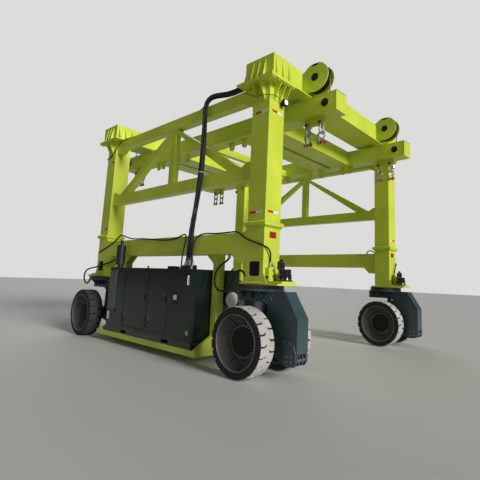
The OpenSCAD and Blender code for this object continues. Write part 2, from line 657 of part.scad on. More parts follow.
// Yoke of a bogie, in the frame of its steering axis.
module yoke(sx, sy) color(teal) translate([sx * leg_dx, sy * leg_dy, 0]) difference() {
    union() {
        translate([0, 0, yoke_z1 - 35]) cylinder(r = ring_r + 10, h = 35, $fn = 96);
        translate([0, 0, yoke_z1 - eps]) cylinder(r = race_r, h = base_bot - yoke_z1 - 4, $fn = 96);
        upright(0, yoke_w) polygon([[-440, yoke_z1 - 30], [700, yoke_z1 - 30], [980, 1045], [980, 980],
            [640, 980], [300, arm_z1], [-440, arm_z1]]);
        for (k = [-1, 1]) {
            upright(k * (yoke_w - yoke_t) / 2, yoke_t) polygon([[980, 981], [980, 343], [928, 277], [760, 250],
                [560, 330], [300, 560], [300, arm_z1 + eps], [560, arm_z1 - 180]]);
            upright(k * (yoke_w + boss_t) / 2, boss_t + eps) polygon([[963, 500], [963, 369], [928, 290], [760, 275],
                [680, 400], [700, 668], [813, 668], [920, 610]]);
            bar_y(disc_x, disc_z, 95, k > 0 ? yoke_w / 2 - eps : -yoke_w / 2 - 10, k > 0 ? yoke_w / 2 + 10 : eps - yoke_w / 2);
        }
        block([940, -yoke_w / 2, 480], [980, yoke_w / 2, 1000]);
        for (y = [-90, 0, 90]) upright(y, 30) polygon([[941, 481], [930, 460], [930, 300], [965, 295], [997, 340],
            [997, 440], [979, 481]]);
    }
    bar_y(pivot_x, pivot_z, 50.05, -yoke_w, yoke_w);
}

// Swing arm from the yoke's pivot to the wheel shaft.
module swing_arm(sx, sy) translate([sx * leg_dx, sy * leg_dy, 0]) {
    w = yoke_w - 2 * yoke_t - 8;
    color(teal) difference() {
        union() {
            upright(0, w) polygon([[pivot_x - 20, pivot_z - 95], [pivot_x + 40, pivot_z + 90],
                [trail + 60, axle_z + 150], [trail - 120, axle_z + 60], [trail, axle_z - 150]]);
            bar_y(pivot_x, pivot_z, 95, -w / 2, w / 2);
            bar_y(trail, axle_z, 160, -w / 2 - 20, w / 2 + 20);
        }
        bar_y(trail, axle_z, shaft_r + 0.1, -yoke_w, yoke_w);
    }
    color(steel) bar_y(pivot_x, pivot_z, 50, -yoke_w / 2 - boss_t - 6, yoke_w / 2 + boss_t + 6);
    color(steel) translate([trail + 40, 0, axle_z + 120]) cylinder(r = 55, h = arm_z1 - axle_z - 120);
}

// Both rims of a bogie on their shaft.
module rims(sx, sy) color(dusty) translate([sx * leg_dx + trail, sy * leg_dy, axle_z]) {
    rotate([90, 0, 0]) translate([0, 0, -wheel_in - 40]) cylinder(r = shaft_r, h = 2 * wheel_in + 80);
    for (k = [0, 180]) rotate([0, 0, k]) rim();
}

// Rim with its dish facing -y, the tyre seat outside.
module rim() rotate([90, 0, 0]) {
    rotate_extrude($fn = 96) polygon([[rim_r, wheel_in], [rim_r, wheel_out - 4], [rim_r - 16, wheel_out],
        [rim_r - 26, wheel_out - 20], [rim_r - 30, wheel_out - 60], [300, wheel_out - 215], [0, wheel_out - 215],
        [0, wheel_out - 260], [290, wheel_out - 260], [rim_r - 30, wheel_out - 105], [rim_r - 30, wheel_in]]);
    translate([0, 0, wheel_out - 216]) cylinder(r = 245, h = 40);
    translate([0, 0, wheel_in + 20]) cylinder(r = 190, h = wheel_out - wheel_in - 270);
    for (i = [0 : rim_ribs - 1]) rotate([0, 0, i * 360 / rim_ribs]) translate([0, 9, 0]) rotate([90, 0, 0])
        linear_extrude(18) polygon([[295, wheel_out - 235], [295, wheel_out - 190],
            [rim_r - 40, wheel_out - 45], [rim_r - 20, wheel_out - 75]]);
}

// Pair of solid tyres with staggered shoulder grooves.
module tyres(sx, sy) color(black) translate([sx * leg_dx + trail, sy * leg_dy, axle_z])
    for (k = [0, 180]) rotate([0, 0, k]) rotate([90, 0, 0]) tyre();

module tyre() {
    w = wheel_out - wheel_in;
    translate([0, 0, wheel_in]) difference() {
        rotate_extrude($fn = 96) polygon([[rim_r, 0], [tyre_r - 60, 0], [tyre_r - 12, 22], [tyre_r, 60],
            [tyre_r, w - 60], [tyre_r - 12, w - 22], [tyre_r - 60, w], [rim_r, w]]);
        for (i = [0 : groove_n - 1], side = [0, 1])
            rotate([0, 0, (i + side / 2) * 360 / groove_n]) translate([tyre_r - groove_d, -17, side > 0 ? w - 110 : -eps])
                cube([groove_d + eps, 34, 110 + eps]);
    }
}

leg(1, -1);  // leg_front_near
leg(-1, -1);  // leg_rear_near
leg(1, 1);  // leg_front_far
leg(-1, 1);  // leg_rear_far
foot(1, -1);  // foot_front_near
foot(-1, -1);  // foot_rear_near
foot(1, 1);  // foot_front_far
foot(-1, 1);  // foot_rear_far
lower_beams();
bottom_chords();
top_chords();
truss_posts();
truss_diagonals();
head_beam(1);  // head_beam_front
head_beam(-1);  // head_beam_rear
sheave_blocks(1);  // sheave_blocks_front
sheave_blocks(-1);  // sheave_blocks_rear
sheaves(1);  // sheaves_front
sheaves(-1);  // sheaves_rear
hoist_ropes();
lift_beam(-1);  // lift_beam_near
lift_beam(1);  // lift_beam_far
lift_cross_beams();
shackles();
slewing_rings();
steering_motors();
work_lamps();
hose_bundle();
pack_tray();
pack_hangers();
pack_skid();
pack_canopy();
pack_engine();
pack_exhaust();
oil_filter_tank();
door(door_front_x, door_front_w);  // door_front
door(door_rear_x, door_rear_w);  // door_rear
yoke(1, -1);  // yoke_front_near
yoke(-1, -1);  // yoke_rear_near
yoke(1, 1);  // yoke_front_far
yoke(-1, 1);  // yoke_rear_far
swing_arm(1, -1);  // swing_arm_front_near
swing_arm(-1, -1);  // swing_arm_rear_near
swing_arm(1, 1);  // swing_arm_front_far
swing_arm(-1, 1);  // swing_arm_rear_far
rims(1, -1);  // rims_front_near
rims(-1, -1);  // rims_rear_near
rims(1, 1);  // rims_front_far
rims(-1, 1);  // rims_rear_far
tyres(1, -1);  // tyres_front_near
tyres(-1, -1);  // tyres_rear_near
tyres(1, 1);  // tyres_front_far
tyres(-1, 1);  // tyres_rear_far
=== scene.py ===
"""Straddle carrier dressed for display: finishes, fittings, hoses and treads round a fixed CAD frame.

Lengths are in metres unless a name ends in _mm. +X is the front of the machine, -Y the side of the
power pack and +Z up, with the origin on the ground midway between the legs.
"""

from __future__ import annotations

import json
import logging
import math
from dataclasses import dataclass, field
from enum import Enum
from functools import partial
from typing import Callable, Sequence

import bmesh
import bpy
import numpy as np
from mathutils import Matrix, Vector

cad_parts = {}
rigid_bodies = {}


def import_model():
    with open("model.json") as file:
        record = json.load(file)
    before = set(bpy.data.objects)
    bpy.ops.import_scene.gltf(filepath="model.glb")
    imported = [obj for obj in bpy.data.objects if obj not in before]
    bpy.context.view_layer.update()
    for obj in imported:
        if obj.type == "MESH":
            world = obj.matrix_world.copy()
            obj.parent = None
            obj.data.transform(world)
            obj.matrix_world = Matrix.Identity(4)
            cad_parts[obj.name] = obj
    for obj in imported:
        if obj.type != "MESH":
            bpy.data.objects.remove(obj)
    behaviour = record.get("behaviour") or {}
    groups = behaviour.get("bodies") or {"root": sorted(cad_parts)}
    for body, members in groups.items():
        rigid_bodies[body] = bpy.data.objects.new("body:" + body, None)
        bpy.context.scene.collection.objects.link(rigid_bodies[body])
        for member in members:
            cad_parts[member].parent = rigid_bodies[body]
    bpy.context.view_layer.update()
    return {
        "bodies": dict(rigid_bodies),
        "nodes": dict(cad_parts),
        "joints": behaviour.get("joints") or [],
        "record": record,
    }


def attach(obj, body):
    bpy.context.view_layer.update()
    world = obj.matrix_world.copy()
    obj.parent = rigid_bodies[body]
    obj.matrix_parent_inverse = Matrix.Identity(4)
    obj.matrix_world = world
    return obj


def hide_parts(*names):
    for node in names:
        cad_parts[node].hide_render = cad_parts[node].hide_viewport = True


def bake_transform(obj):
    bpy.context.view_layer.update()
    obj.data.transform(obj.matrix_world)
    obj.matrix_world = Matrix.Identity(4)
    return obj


log = logging.getLogger("straddle_carrier")
Array = np.ndarray
Pair = tuple[float, float]
Place = tuple[float, float, float]
Row = tuple[float, ...]
Pairs = tuple[Pair, ...]
Places = tuple[Place, ...]
Source = bpy.types.Node | bpy.types.NodeSocket
MERGE = 1e-5
MM = 1000
WAVE = MM / 20  # at this scale the bands of a wave texture run through one radian in each mm


class Corner(Enum):
    """The four legs: their name endings and the signs of their X and Y."""

    FRONT_NEAR = ("front_near", 1, -1)
    REAR_NEAR = ("rear_near", -1, -1)
    FRONT_FAR = ("front_far", 1, 1)
    REAR_FAR = ("rear_far", -1, 1)

    @property
    def label(self) -> str:
        """The ending of the node and body names of this leg."""
        return self.value[0]

    @property
    def signs(self) -> tuple[int, int]:
        """The signs of the X and Y of this leg."""
        return self.value[1], self.value[2]

    @property
    def place(self) -> Place:
        """Where the axis of this leg meets the ground."""
        return self.value[1] * LAYOUT.leg_dx, self.value[2] * LAYOUT.leg_dy, 0.0


@dataclass(frozen=True)
class Layout:
    """Main places of the frame that several sub-assemblies share."""

    leg_dx: float = 3.013
    leg_dy: float = 2.759
    leg_x: float = 0.444
    leg_y: float = 0.460
    joint_z: float = 2.730
    flange_t: float = 0.032
    head_z: float = 5.590
    base_top: float = 1.630
    motor_place: Place = (0.487, 0.079, 1.672)
    trail: float = 0.075
    axle_z: float = 0.610
    sheave_x: float = 3.530
    sheave_y: float = 1.756
    sheave_z: float = 6.035
    rope_r: float = 0.300
    lift_w: float = 0.380
    lift_low: float = 5.135
    lift_top: float = 5.541
    lift_reach: float = 4.100
    cross_x: Pair = (1.445, 2.135)

    @property
    def rope_x(self) -> float:
        """Distance of the falling ropes from the middle."""
        return self.sheave_x + self.rope_r


LAYOUT = Layout()


# Surfaces


@dataclass
class Surface:
    """A shape in the making: points and quads, where a quad may fold to a triangle at a pole."""

    points: Array
    quads: Array
    tone: Array | None = None

    @staticmethod
    def join(parts: Sequence[Surface]) -> Surface:
        """Stacks several shapes into one.

        Args:
            parts: The shapes, all with a tone or all without.

        Returns:
            One shape with their points and quads in order.
        """
        starts = np.cumsum([0] + [len(p.points) for p in parts[:-1]])
        quads = np.concatenate([p.quads + s for p, s in zip(parts, starts)])
        tone = None if parts[0].tone is None else np.concatenate([p.tone for p in parts])
        return Surface(np.concatenate([p.points for p in parts]), quads, tone)

    def moved(self, offset: Sequence[float], scale: Sequence[float] = (1, 1, 1)) -> Surface:
        """Scales the shape about the origin, then shifts it."""
        return Surface(self.points * np.asarray(scale, float) + np.asarray(offset, float), self.quads, self.tone)

    def turned(self, axes: Sequence[Sequence[float]]) -> Surface:
        """Maps local x, y, z onto the three given directions."""
        return Surface(self.points @ np.asarray(axes, float), self.quads, self.tone)

    def at_all_corners(self) -> Surface:
        """A shape drawn about a leg's foot, +x and -y outwards, at each of the four legs."""
        return Surface.join([self.moved(leg.place, (leg.signs[0], -leg.signs[1], 1)) for leg in Corner])

    def both_sides(self, distance: float = 0.0) -> Surface:
        """The shape moved out along y by the distance, and its mirror image about y = 0."""
        out = self.moved((0, distance, 0))
        return Surface.join([out, out.moved((0, 0, 0), (1, -1, 1))])

    def both_ends(self) -> Surface:
        """The shape and its mirror image about x = 0."""
        return Surface.join([self, self.moved((0, 0, 0), (-1, 1, 1))])

    def both_frames(self) -> Surface:
        """The shape in the planes of the near and the far sheaves."""
        return self.scattered([(0, -LAYOUT.sheave_y, 0), (0, LAYOUT.sheave_y, 0)])

    def scattered(self, places: Array) -> Surface:
        """Repeats the shape at each place by adding every place to every point."""
        places = np.asarray(places, float).reshape(-1, 3)
        points = (self.points[None] + places[:, None]).reshape(-1, 3)
        starts = np.arange(len(places)) * len(self.points)
        quads = (self.quads[None] + starts[:, None, None]).reshape(-1, 4)
        return Surface(points, quads)


# Axes for Surface.turned: where a shape's own z points. STANDING faces +y too, and keeps a drawing's y upwards.
TO_X = ((0, 1, 0), (0, 0, 1), (1, 0, 0))
TO_Y = ((1, 0, 0), (0, 0, -1), (0, 1, 0))
TO_MINUS_Y = ((1, 0, 0), (0, 0, 1), (0, -1, 0))
TO_MINUS_Z = ((1, 0, 0), (0, -1, 0), (0, 0, -1))
STANDING = ((1, 0, 0), (0, 0, 1), (0, 1, 0))


def facing(direction: Sequence[float]) -> Array:
    """Axes for Surface.turned whose third points along a direction and whose first is square to it."""
    z = np.asarray(direction, float) / np.linalg.norm(direction)
    x = np.cross(np.eye(3)[np.argmin(np.abs(z))], z)
    x /= np.linalg.norm(x)
    return np.stack([x, np.cross(z, x), z])


def circle(radius: float, count: int, z: float = 0.0, start_deg: float = 0.0) -> Array:
    """Places on a circle about z: radius (cos t, sin t) at the height z."""
    turn = np.radians(start_deg) + np.arange(count) * 2 * np.pi / count
    return np.stack([radius * np.cos(turn), radius * np.sin(turn), np.full(count, z)], 1)


def lattice(points: Array, round_v: bool = True) -> Surface:
    """Joins a (rows, columns, 3) array of points into quads, each corner to its next row and column.

    Args:
        points: The grid of points.
        round_v: Whether the last column joins the first.

    Returns:
        The quads of the grid.
    """
    rows, columns = points.shape[:2]
    index = np.arange(rows * columns).reshape(rows, columns)
    if round_v:
        index = np.concatenate([index, index[:, :1]], 1)
    quads = np.stack([index[:-1, :-1], index[1:, :-1], index[1:, 1:], index[:-1, 1:]], -1).reshape(-1, 4)
    return Surface(points.reshape(-1, 3), quads)


def lathe(profile: Sequence[Pair], sides: int = 48) -> Surface:
    """Turns a profile of (radius, height) about z: x = r cos t, y = r sin t, z = height.

    Args:
        profile: From one pole to the other, or closed on itself.
        sides: Columns round the axis.

    Returns:
        The turned surface.
    """
    shape = np.asarray(profile, float)
    turn = np.linspace(0, 2 * np.pi, sides, endpoint=False)
    x = shape[:, 0, None] * np.cos(turn)
    y = shape[:, 0, None] * np.sin(turn)
    return lattice(np.stack([x, y, np.broadcast_to(shape[:, 1, None], x.shape)], -1))


def prism(outline: Array, low: float, high: float, chamfer: float = 0.0) -> Surface:
    """Raises an outline from low to high, its caps drawn in to the centroid and its edges chamfered.

    Each ring is the outline scaled about its centroid by 1 - inset / reach, the reach being its mean radius.

    Args:
        outline: Points (n, 2) in order round a shape that its centroid sees whole.
        low: Height of the lower cap.
        high: Height of the upper cap.
        chamfer: Width of the chamfer at both caps.

    Returns:
        The closed prism.
    """
    outline = np.asarray(outline, float)
    centre = outline.mean(0)
    reach = np.linalg.norm(outline - centre, axis=1).mean()
    inset = 1 - chamfer / reach
    shares = np.array([0, inset, 1, 1, inset, 0])
    heights = np.array([low, low, low + chamfer, high - chamfer, high, high])
    flat = centre + shares[:, None, None] * (outline - centre)[None]
    return lattice(np.concatenate([flat, np.broadcast_to(heights[:, None, None], flat.shape[:2] + (1,))], -1))


def rectangle(x0: float, y0: float, x1: float, y1: float, corner: float = 0.0, steps: int = 5) -> Array:
    """Outline of a rectangle whose corners are arcs: corner centre + corner (cos t, sin t) by quarters.

    Args:
        x0: Low x.
        y0: Low y.
        x1: High x.
        y1: High y.
        corner: Radius of the corners.
        steps: Points in each arc.

    Returns:
        The outline (n, 2), anticlockwise.
    """
    if corner <= 0:
        return np.array([(x0, y0), (x1, y0), (x1, y1), (x0, y1)], float)
    centres = np.array([(x1 - corner, y1 - corner), (x0 + corner, y1 - corner),
                        (x0 + corner, y0 + corner), (x1 - corner, y0 + corner)])
    turn = np.linspace(0, np.pi / 2, steps)[None] + (np.arange(4) * np.pi / 2)[:, None]
    arc = corner * np.stack([np.cos(turn), np.sin(turn)], -1)
    return (centres[:, None] + arc).reshape(-1, 2)


def centred(half_x: float, half_y: float, corner: float = 0.0, steps: int = 5) -> Array:
    """Outline of a rectangle about the origin."""
    return rectangle(-half_x, -half_y, half_x, half_y, corner, steps)


def slab(low: Sequence[float], high: Sequence[float], chamfer: float = 0.003) -> Surface:
    """Block between two corners with chamfered upper and lower edges, as a prism of its rectangle."""
    corner = min(chamfer, 0.4 * (high[0] - low[0]), 0.4 * (high[1] - low[1]))
    return prism(rectangle(low[0], low[1], high[0], high[1], corner, 2), low[2], high[2], chamfer)


def hexagon_bolt(radius: float, height: float) -> Surface:
    """Hexagon head on a round washer, standing on z = 0 with its top chamfered, open below."""
    turn = np.linspace(0, 2 * np.pi, 12, endpoint=False)
    flats = radius * np.cos(np.pi / 6) / np.cos((turn + np.pi / 6) % (np.pi / 3) - np.pi / 6)
    washer = np.full_like(turn, 1.25 * radius)
    radii = np.stack([washer, washer, flats, flats, 0.86 * flats, 0 * flats])
    heights = np.array([0, 0.22, 0.22, 0.85, 1.0, 1.0])[:, None] * height
    points = np.stack([radii * np.cos(turn), radii * np.sin(turn), np.broadcast_to(heights, radii.shape)], -1)
    return lattice(points)


def around(half_x: float, half_y: float, count: int, z: float) -> Array:
    """Places along the four sides of a rectangle about z, the same number on each and none on a corner."""
    share = np.linspace(-1, 1, count) * (1 - 1 / count)
    flat = np.full(count, 1.0)
    sides = ((share, flat), (share, -flat), (flat, share), (-flat, share))
    return np.concatenate([np.stack([x * half_x, y * half_y, z * flat], 1) for x, y in sides])


def run_of(path: Array) -> Array:
    """Length run along a path at each of its points: the running sum of the steps between them."""
    return np.concatenate([[0], np.cumsum(np.linalg.norm(np.diff(path, axis=0), axis=1))])


def route(controls: Sequence[Sequence[float]], step: float = 0.03) -> Array:
    """Smooth route past control points: a uniform cubic B-spline, then evened out by its length.

    p(t) = ((1-t)^3 a + (3t^3 - 6t^2 + 4) b + (-3t^3 + 3t^2 + 3t + 1) c + t^3 d) / 6 for each four in a row,
    with both end points taken three times, so that the route starts and stops on them.

    Args:
        controls: The control points (n, 3).
        step: Distance between the points of the route.

    Returns:
        The points of the route.
    """
    c = np.asarray(controls, float)
    c = np.concatenate([c[:1], c[:1], c, c[-1:], c[-1:]])
    t = np.linspace(0, 1, 16, endpoint=False)[:, None]
    weights = ((1 - t) ** 3, 3 * t ** 3 - 6 * t ** 2 + 4, -3 * t ** 3 + 3 * t ** 2 + 3 * t + 1, t ** 3)
    rough = sum(w[None] * c[i:len(c) - 3 + i, None] for i, w in enumerate(weights)) / 6
    rough = np.concatenate([rough.reshape(-1, 3), c[-1:]])
    run = run_of(rough)
    even = np.linspace(0, run[-1], max(8, int(run[-1] / step) + 1))
    return np.stack([np.interp(even, run, rough[:, k]) for k in range(3)], 1)


def frame_of(path: Array) -> tuple[Array, Array]:
    """Two directions square to a path: n, square also to the direction it runs along least, and b square to both."""
    tangent = np.gradient(path, axis=0)
    tangent /= np.linalg.norm(tangent, axis=1)[:, None]
    least = np.linalg.svd(tangent - 1e-3)[2][-1]  # shifted, so that no column is all zero
    n = np.cross(tangent, least)
    n /= np.linalg.norm(n, axis=1)[:, None]
    return n, np.cross(tangent, n)


def tube(path: Array, radius: float, sides: int = 12, strands: int = 0, lay: float = 0.15) -> Surface:
    """Round tube or laid rope along a path with closed ends: p + r (cos t n + sin t b), n and b the path's frame.

    A tube's r is its radius; a rope's is radius (0.86 + 0.14 |cos(k (t - 2 pi s / lay) / 2)|) at the run s, with k
    strands.

    Args:
        path: The centre line (n, 3).
        radius: Radius of the tube.
        sides: Columns round it.
        strands: Strands of a rope, or none.
        lay: Length in which a strand goes once round.

    Returns:
        The closed tube.
    """
    path = np.asarray(path, float)
    n, b = frame_of(path)
    turn = np.linspace(0, 2 * np.pi, sides, endpoint=False)
    radii = np.full((len(path), sides), radius)
    if strands:
        radii *= 0.86 + 0.14 * np.abs(np.cos(strands / 2 * (turn[None] - 2 * np.pi * run_of(path)[:, None] / lay)))
    rings = np.cos(turn)[None, :, None] * n[:, None] + np.sin(turn)[None, :, None] * b[:, None]
    body = path[:, None] + radii[..., None] * rings
    ends = [np.broadcast_to(path[i], (1, sides, 3)) for i in (0, -1)]
    return lattice(np.concatenate([ends[0], body, ends[1]]))


def bead(loop: Array, radius: float, sides: int = 6) -> Surface:
    """Closed round bead along a level loop: p + r (cos t s + sin t z), s square to the loop and z upwards.

    Args:
        loop: Points (n, 3) in order round the loop.
        radius: Radius of the bead.
        sides: Columns round it.

    Returns:
        The bead.
    """
    tangent = np.roll(loop, -1, 0) - np.roll(loop, 1, 0)
    side = np.cross(tangent, (0, 0, 1))
    side /= np.linalg.norm(side, axis=1)[:, None]
    turn = np.linspace(0, 2 * np.pi, sides, endpoint=False)[None, :, None]
    points = loop[:, None] + radius * (np.cos(turn) * side[:, None] + np.sin(turn) * np.array((0.0, 0.0, 1.0)))
    return lattice(np.concatenate([points, points[:1]]))


def flat_loop(outline: Array, z: float = 0.0) -> Array:
    """A flat outline (n, 2) as points (n, 3) at a height."""
    return np.concatenate([outline, np.full((len(outline), 1), z)], 1)


# Profile of a ferrule in radii of its hose.
FERRULE = ((0, 1.1), (1.4, 1.1), (1.4, 2.0), (1.3, 2.1), (1.3, 2.3), (1.4, 2.4), (1.4, 3.2), (1.3, 3.3), (1.3, 3.5),
           (1.4, 3.6), (1.4, 4.3), (1.1, 4.5), (0, 4.5))


def coupling(radius: float) -> Surface:
    """Hose end along +z from its seat: a hexagon nut and a crimped ferrule with two grooves, lathed from FERRULE."""
    return Surface.join([hexagon_bolt(1.75 * radius, 1.3 * radius), lathe(radius * np.array(FERRULE), 16)])


def along(start: Sequence[float], stop: Sequence[float], count: int) -> Array:
    """Evenly spaced points from start to stop, both included."""
    return np.linspace(np.asarray(start, float), np.asarray(stop, float), count)


# Finishes


def linear(colour: str, alpha: float = 1.0) -> tuple[float, float, float, float]:
    """Turns an sRGB hex colour into linear RGBA: c / 12.92 below 0.04045, else ((c + 0.055) / 1.055)^2.4.

    Args:
        colour: Six hex digits after a #.
        alpha: Opacity.

    Returns:
        The linear colour.
    """
    parts = [int(colour[i:i + 2], 16) / 255 for i in (1, 3, 5)]
    r, g, b = (c / 12.92 if c <= 0.04045 else ((c + 0.055) / 1.055) ** 2.4 for c in parts)
    return r, g, b, alpha


def add_node(tree: bpy.types.NodeTree, kind: str, settings: dict | None = None,
             links: dict | None = None) -> bpy.types.Node:
    """Adds a shader node, sets its properties and sockets, and links its inputs.

    Args:
        tree: The node tree.
        kind: The node's type name without "ShaderNode".
        settings: Values by property name, or by input name or number.
        links: What feeds its inputs, by their name or number: a node, for the first output that it has in use,
            or one of a node's outputs.

    Returns:
        The node.
    """
    node = tree.nodes.new("ShaderNode" + kind)
    for key, value in (settings or {}).items():
        if isinstance(key, str) and hasattr(node, key):
            setattr(node, key, value)
        else:
            node.inputs[key].default_value = value
    for key, source in (links or {}).items():
        if isinstance(source, bpy.types.Node):
            source = next(socket for socket in source.outputs if socket.enabled)
        tree.links.new(source, node.inputs[key])
    return node


def new_material(name: str) -> tuple[bpy.types.Material, Callable[..., bpy.types.Node]]:
    """Empty node material, and add_node for its tree."""
    material = bpy.data.materials.new(name)
    material.use_nodes = True
    material.node_tree.nodes.clear()
    return material, partial(add_node, material.node_tree)


def shaded(material: bpy.types.Material, colour: bpy.types.Node, settings: dict,
           gloss: tuple[Source, float, float] | None = None,
           relief: tuple[Source, float, float] | None = None) -> bpy.types.Material:
    """Ends a material in its shader, by its colour, gloss and relief; where it glows, it glows in its colour.

    Args:
        material: The material, its patterns in place.
        colour: What gives its colour.
        settings: Values of the shader's own sockets.
        gloss: What gives a share from 0 to 1, and the roughness at both ends of it.
        relief: What gives a height, the strength of its bump, and its depth in metres.

    Returns:
        The material.
    """
    add, links = partial(add_node, material.node_tree), {"Base Color": colour}
    if gloss:
        share, smooth, dull = gloss
        links["Roughness"] = add("MapRange", {"To Min": smooth, "To Max": min(1.0, dull)}, {"Value": share})
    if relief:
        height, strength, depth = relief
        links["Normal"] = add("Bump", {"Strength": strength, "Distance": depth}, {"Height": height})
    if "Emission Strength" in settings:
        links["Emission Color"] = colour
    add("OutputMaterial", links={"Surface": add("BsdfPrincipled", settings, links)})
    return material


@dataclass(frozen=True)
class SprayedEnamel:
    """Two-pack enamel sprayed on plate steel: a soft orange-peel gloss under road dust and rain streaks."""

    name: str
    colour: str
    shade: str
    dust: str = "#8d8a80"
    roughness: float = 0.38
    coat: float = 0.15
    dust_top: float = 2.2
    dust_share: float = 0.5
    peel_mm: float = 14.0
    streak_mm: float = 70.0
    cloud_mm: float = 900.0

    def build(self) -> bpy.types.Material:
        """Mixes the paint with its faded shade in large clouds, streaks it downwards and dusts it near the ground."""
        material, add = new_material(self.name)
        place = add("TexCoord").outputs["Object"]
        clouds = add("TexNoise", {"Scale": MM / self.cloud_mm, "Detail": 4.0, "Roughness": 0.55}, {"Vector": place})
        cloudy = add("MapRange", {"From Min": 0.38, "From Max": 0.68}, {"Value": clouds})
        paint = add("Mix", {"data_type": "RGBA", 6: linear(self.colour), 7: linear(self.shade)}, {0: cloudy})
        squeeze = add("Mapping", {"Scale": (MM / self.streak_mm, MM / self.streak_mm, 1.1)}, {"Vector": place})
        streaks = add("TexNoise", {"Scale": 1.0, "Detail": 3.0, "Roughness": 0.6}, {"Vector": squeeze})
        runs = add("MapRange", {"From Min": 0.54, "From Max": 0.78, "To Max": 0.35}, {"Value": streaks})
        streaked = add("Mix", {"data_type": "RGBA", 7: linear(self.shade)}, {0: runs, 6: paint})
        height = add("SeparateXYZ", links={0: place})
        low = add("MapRange", {"From Max": self.dust_top, "To Min": self.dust_share, "To Max": 0.0},
                  {"Value": height.outputs["Z"]})
        dusty = add("Math", {"operation": "MULTIPLY"}, {0: low, 1: clouds})
        colour = add("Mix", {"data_type": "RGBA", 7: linear(self.dust)}, {0: dusty, 6: streaked})
        peel = add("TexNoise", {"Scale": MM / self.peel_mm, "Detail": 2.0}, {"Vector": place})
        return shaded(material, colour, {"Coat Weight": self.coat, "Coat Roughness": 0.2, "IOR": 1.5},
                      (dusty, self.roughness, self.roughness + 0.3), (peel, 0.10, 0.001))


@dataclass(frozen=True)
class SolidTyreRubber:
    """Vulcanised rubber, near black where it is clean, pale with concrete dust where it runs on the ground; a copy
    with a dark tread colour paints shade on the tread instead.
    """

    name: str = "solid_tyre_rubber"
    clean: str = "#121212"
    # Tread colour: pale concrete dust, or dark painted shade in the rear copy.
    dust: str = "#c4bfb8"
    scuff_mm: float = 22.0

    def build(self) -> bpy.types.Material:
        """Lays the tread colour, dust or painted shade, by the piece's own tone attribute, broken up by scuffs; the
        rest is worn black rubber.
        """
        material, add = new_material(self.name)
        place = add("TexCoord").outputs["Object"]
        tone = add("Attribute", {"attribute_name": "tone"})
        scuffs = add("TexNoise", {"Scale": MM / self.scuff_mm, "Detail": 5.0, "Roughness": 0.7}, {"Vector": place})
        patches = add("TexNoise", {"Scale": 4.0, "Detail": 2.0}, {"Vector": place})
        broken = add("MapRange", {"From Min": 0.25, "From Max": 0.6, "To Min": 0.80}, {"Value": scuffs})
        wide = add("MapRange", {"From Min": 0.3, "From Max": 0.6, "To Min": 0.75}, {"Value": patches})
        both = add("Math", {"operation": "MULTIPLY"}, {0: broken, 1: wide})
        edge = add("MapRange", {"From Min": 0.42, "From Max": 0.60}, {"Value": tone.outputs["Fac"]})
        share = add("Math", {"operation": "MULTIPLY"}, {0: both, 1: edge})
        colour = add("Mix", {"data_type": "RGBA", 6: linear(self.clean), 7: linear(self.dust)}, {0: share})
        return shaded(material, colour, {"IOR": 1.52}, (share, 0.62, 0.95), (scuffs, 0.35, 0.002))


@dataclass(frozen=True)
class WorkedSteel:
    """Bare steel or iron: zinc spangle, turned rings or rope lay show as small steps in tone and gloss."""

    name: str
    colour: str
    shade: str
    grain_mm: float
    roughness: float = 0.4
    metallic: float = 1.0
    stretch: Place = (1.0, 1.0, 1.0)

    def build(self) -> bpy.types.Material:
        """Mixes two tones of metal by cells of the grain's size and dulls the darker ones."""
        material, add = new_material(self.name)
        place = add("TexCoord").outputs["Object"]
        fit = add("Mapping", {"Scale": self.stretch}, {"Vector": place})
        cells = add("TexVoronoi", {"Scale": MM / self.grain_mm}, {"Vector": fit})
        soil = add("TexNoise", {"Scale": 6.0, "Detail": 5.0}, {"Vector": place})
        blend = add("Math", {"operation": "MULTIPLY"}, {0: cells, 1: soil})
        wide = add("MapRange", {"From Min": 0.05, "From Max": 0.4}, {"Value": blend})
        colour = add("Mix", {"data_type": "RGBA", 6: linear(self.colour), 7: linear(self.shade)}, {0: wide})
        return shaded(material, colour, {"Metallic": self.metallic}, (wide, self.roughness, self.roughness + 0.25),
                      (cells, 0.25, 0.0015))


@dataclass(frozen=True)
class Elastomer:
    """Extruded hose rubber or moulded plastic: a dark skin with faint bands of braid or grain, pitch_mm a radian."""

    name: str
    colour: str
    shade: str
    pitch_mm: float = 18.0
    roughness: float = 0.55

    def build(self) -> bpy.types.Material:
        """Runs fine bands over the skin for the braid and clouds it with handling marks."""
        material, add = new_material(self.name)
        place = add("TexCoord").outputs["Object"]
        bands = add("TexWave", {"Scale": WAVE / self.pitch_mm, "Distortion": 1.5, "Detail": 2.0,
                                "bands_direction": "DIAGONAL"}, {"Vector": place})
        marks = add("TexNoise", {"Scale": 9.0, "Detail": 5.0}, {"Vector": place})
        wide = add("MapRange", {"From Min": 0.35, "From Max": 0.7}, {"Value": marks})
        colour = add("Mix", {"data_type": "RGBA", 6: linear(self.colour), 7: linear(self.shade)}, {0: wide})
        return shaded(material, colour, {"IOR": 1.5},
                      (wide, self.roughness, self.roughness + 0.2), (bands.outputs["Fac"], 0.2, 0.001))


@dataclass(frozen=True)
class PrismaticTape:
    """Reflective tape: cube-corner cells under clear film, drawn at 12 mm so that they show."""

    name: str
    colour: str
    gap: str
    cell_mm: float = 12.0

    def build(self) -> bpy.types.Material:
        """Lines the colour with the paler edges of its cells under a smooth film."""
        material, add = new_material(self.name)
        place = add("TexCoord").outputs["Object"]
        cells = add("TexVoronoi", {"feature": "DISTANCE_TO_EDGE", "Scale": MM / self.cell_mm}, {"Vector": place})
        edge = add("MapRange", {"From Min": 0.02, "From Max": 0.12}, {"Value": cells})
        colour = add("Mix", {"data_type": "RGBA", 6: linear(self.gap), 7: linear(self.colour)}, {0: edge})
        return shaded(material, colour, {"Roughness": 0.25, "Coat Weight": 0.6, "Coat Roughness": 0.08})


